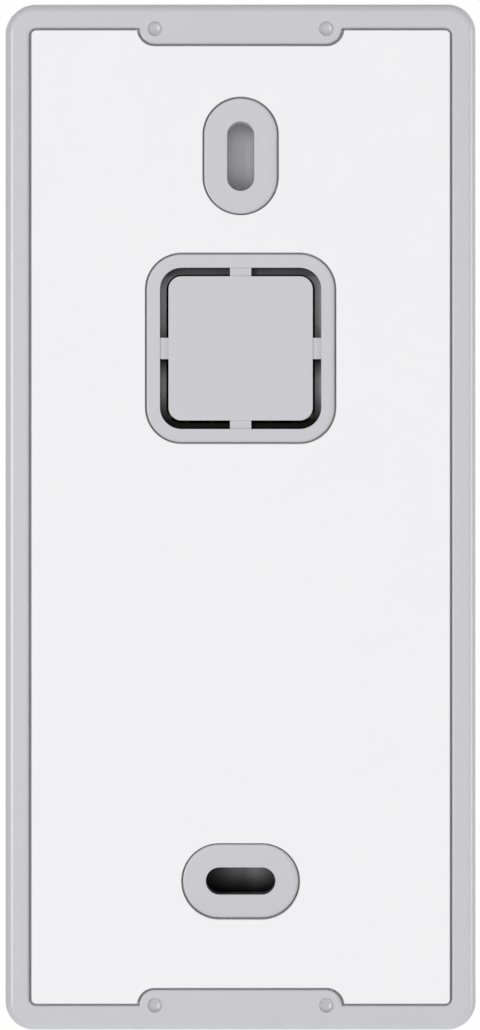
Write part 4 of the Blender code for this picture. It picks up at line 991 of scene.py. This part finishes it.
def make_pir_window():
    """The milky window, softly domed, with a flange behind the wall."""
    def outline(grow):
        return rounded(24.0 + 2 * grow, 12.0 + 2 * grow, 4.0 + grow)

    front = PIR_LOW[1]
    flange_rear, flange_front = PIR_HIGH[1], PIR_HIGH[1] - 1
    sections = [
        (outline(-1.2), flange_rear), (outline(1.2), flange_rear), (outline(1.2), flange_front),
        (outline(0), flange_front), (outline(0), front + 0.6),
    ]
    sections += [(outline(-2.4 * inset), front + 0.6 * level) for level, inset in round_over(1, 8)[1:]]
    sections += [(outline(-2.6), front), (outline(-2.6), front + 0.85), (outline(-1.2), front + 1.2)]
    window = loft("sensor_window", sections, (PIR_X, PIR_Z), closed=True)
    carve(window, "UNION", [prism(outline(-2.3), front, front + 0.85, (PIR_X, PIR_Z))])
    smooth(window)
    stands_for(window, pir_milk(), "doorbell_unit", "pir_milk", "pir_lens")


def make_ring():
    """The light ring, with soft edges and a flange behind the wall."""
    front, rear = RING_LOW[1], RING_HIGH[1]
    profile = [
        (12.5, rear), (12.5, front + 0.15), (12.54, front + 0.04), (12.65, front), (14.85, front),
        (14.96, front + 0.04), (15.0, front + 0.15), (15.0, rear - 1), (16.6, rear - 1), (16.6, rear),
    ]
    ring = turned("glow_ring", profile, (BUTTON_X, BUTTON_Z), 128, True)
    smooth(ring)
    guide = milky("light_guide", (0.82, 0.87, 0.92), 0.22)
    stands_for(ring, guide, "doorbell_unit", "light_guide", "light_ring")


def make_cap():
    """The push button: a dished face with a soft rim, and the post behind it."""
    front, rear = CAP_LOW[1], CAP_HIGH[1]
    radius, soft, dish, dish_steps = 12.2, 0.45, 0.2, 15
    profile = [
        (2.0, rear), (2.0, front + 1.4), (10.7, front + 1.4), (10.7, -19.6), (13.6, -19.6), (13.6, -20.4),
        (radius, -20.4), (radius, front + soft),
    ]
    profile += [(radius - inset, front + level) for level, inset in round_over(soft, 8)[1:]]
    for i in range(1, dish_steps):
        reach = 1 - i / dish_steps
        profile.append(((radius - soft) * reach, front + dish * (1 - reach ** 2)))
    profile = [(distance, min(level, rear)) for distance, level in profile]
    cap = turned("button_face", profile, (BUTTON_X, BUTTON_Z), 128)
    smooth(cap)
    stands_for(cap, button_plastic(), "button", "button_plastic", "button_cap")


def make_flap():
    """The port's rubber cover, soft at its lower edge, with a nail groove."""
    low, high = levels("port_cover")
    x, y = (low[0] + high[0]) / 2, (low[1] + high[1]) / 2
    width, depth = high[0] - low[0], high[1] - low[1]
    flap = mesh_piece("port_flap", [mound(
        lambda grow: rounded(width + 2 * grow, depth + 2 * grow, 1.2 + grow), low[2], high[2], 0.2,
        (x, y), -1, 5, "Z",
    )])
    groove = slot_outline(5.0, 0.8)
    carve(flap, "DIFFERENCE", [mouth(groove, low[2], low[2] + 0.5, 0.1, (x, low[1] + 1), -1, "Z")])
    smooth(flap)
    stands_for(flap, soft_grey(), "flap", "rubber", "port_cover")


make_plate()
make_pad()
make_rear_case()
make_front_cover()
make_panel()
make_camera_parts()
make_pir_window()
make_ring()
make_cap()
make_flap()

# The CAD pieces that still show, each with its finish. The screws and washers, which aren't listed, are zinc
FINISHES = {
    "snap_clip": steel, "button_spring": steel,
    "case_seal": rubber, "speaker_gasket": rubber, "mic_boot": rubber,
    "main_board": circuit_board, "battery_pack": battery_film, "wifi_antenna": antenna_film,
    "shield_can": tinplate, "pir_sensor": tinplate, "microphone": tinplate, "usb_port": tinplate,
    "image_sensor": sensor_chip, "ir_led_left": ir_lamp, "ir_led_right": ir_lamp,
    "ring_led_top": white_lamp, "ring_led_bottom": white_lamp,
    "ring_led_left": white_lamp, "ring_led_right": white_lamp,
    "lens_holder": black_plastic, "switch_body": black_plastic, "reset_switch": black_plastic,
    "speaker_frame": black_plastic, "terminal_block": black_plastic,
    "speaker_cone": cone_film, "switch_stem": stem_plastic, "reset_button": soft_grey,
    "terminal_plate_left": brass, "terminal_plate_right": brass,
}
for name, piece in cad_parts.items():
    if name not in REPLACED:
        finish(piece, FINISHES.get(name, zinc)())


# Stage, light and camera

# The camera, in metres: its place, the level of the outline's widest part, and the height in view there. The
# sensor is in mm
CAMERA_DISTANCE = 0.35
CAMERA_OFF = (0.08 * MM, 0.26 * MM)
OUTLINE_LEVEL = -1.55 * MM
VIEW_HEIGHT = 0.1339
SENSOR_HEIGHT = 24

# Brightness of the world to the camera and to all else, and of the floor's own glow
BACKDROP = 0.992
AMBIENT = 0.43
FLOOR_GLOW = 0.13

# Name, (turn, lift, distance) as in round_y, width and height in metres, and power in watts
LIGHTS = (
    ("left_strip", (29, 0, 1.2), (0.16, 0.6), 4.9),
    ("right_strip", (-62, 0, 1.2), (0.3, 0.8), 3.4),
    ("lower_strip", (0, -50, 1.2), (0.8, 0.2), 0.1),
    ("camera_fill", (0, 4, 1.5), (0.9, 0.9), 2.1),
    ("front_fill", (150, 35, 2.2), (1.4, 1.4), 21),
    ("front_side", (-140, 15, 2.0), (0.5, 2.0), 9),
)


def area_light(name, place, size, power):
    """A light that faces the middle."""
    lamp = bpy.data.lights.new(name, "AREA")
    lamp.shape = "RECTANGLE"
    lamp.size, lamp.size_y = size
    lamp.energy = power
    made = bpy.data.objects.new(name, lamp)
    made.location = place
    made.rotation_euler = (-Vector(place)).to_track_quat("-Z", "Y").to_euler()
    bpy.context.collection.objects.link(made)


def make_floor():
    half, depth = 4.8, -1.0
    shape = bmesh.new()
    points = [(-half, -half, depth), (half, -half, depth), (half, half, depth), (-half, half, depth)]
    shape.faces.new([shape.verts.new(p) for p in points])
    mesh = bpy.data.meshes.new("floor")
    shape.to_mesh(mesh)
    shape.free()
    floor = bpy.data.objects.new("floor", mesh)
    bpy.context.collection.objects.link(floor)
    mesh.materials.append(surface(
        "floor_paper", (0.9, 0.9, 0.9), 0.8, grain=1.0, depth=0.01, mottle=0.005,
        extra={"Emission Strength": FLOOR_GLOW},
    ))


def make_world():
    """White to the camera, and dimmer to everything else."""
    world = bpy.data.worlds.new("studio")
    bpy.context.scene.world = world
    world.use_nodes = True
    tree = world.node_tree
    backdrop = tree.nodes["Background"]
    ambient = tree.nodes.new("ShaderNodeBackground")
    for node, strength in ((backdrop, BACKDROP), (ambient, AMBIENT)):
        node.inputs["Color"].default_value = (1, 1, 1, 1)
        node.inputs["Strength"].default_value = strength
    path = tree.nodes.new("ShaderNodeLightPath")
    mix = tree.nodes.new("ShaderNodeMixShader")
    tree.links.new(path.outputs["Is Camera Ray"], mix.inputs[0])
    tree.links.new(ambient.outputs[0], mix.inputs[1])
    tree.links.new(backdrop.outputs[0], mix.inputs[2])
    tree.links.new(mix.outputs[0], tree.nodes["World Output"].inputs["Surface"])


def make_camera():
    data = bpy.data.cameras.new("camera")
    data.sensor_fit = "VERTICAL"
    data.sensor_height = SENSOR_HEIGHT
    data.lens = data.sensor_height * (CAMERA_DISTANCE - OUTLINE_LEVEL) / VIEW_HEIGHT
    data.clip_start = 0.01
    camera = bpy.data.objects.new("camera", data)
    camera.location = (CAMERA_OFF[0], CAMERA_DISTANCE, CAMERA_OFF[1])
    camera.rotation_euler = (math.radians(90), 0, math.radians(180))
    bpy.context.collection.objects.link(camera)
    bpy.context.scene.camera = camera


def round_y(turn, lift, distance):
    """A place at an angle from +Y: turn goes towards +X and lift upwards, in degrees."""
    turn, lift = math.radians(turn), math.radians(lift)
    return (
        distance * math.sin(turn) * math.cos(lift), distance * math.cos(turn) * math.cos(lift),
        distance * math.sin(lift),
    )


make_floor()
make_world()
for name, place, size, power in LIGHTS:
    area_light(name, round_y(*place), size, power)
make_camera()
bpy.context.scene.view_settings.view_transform = "Standard"
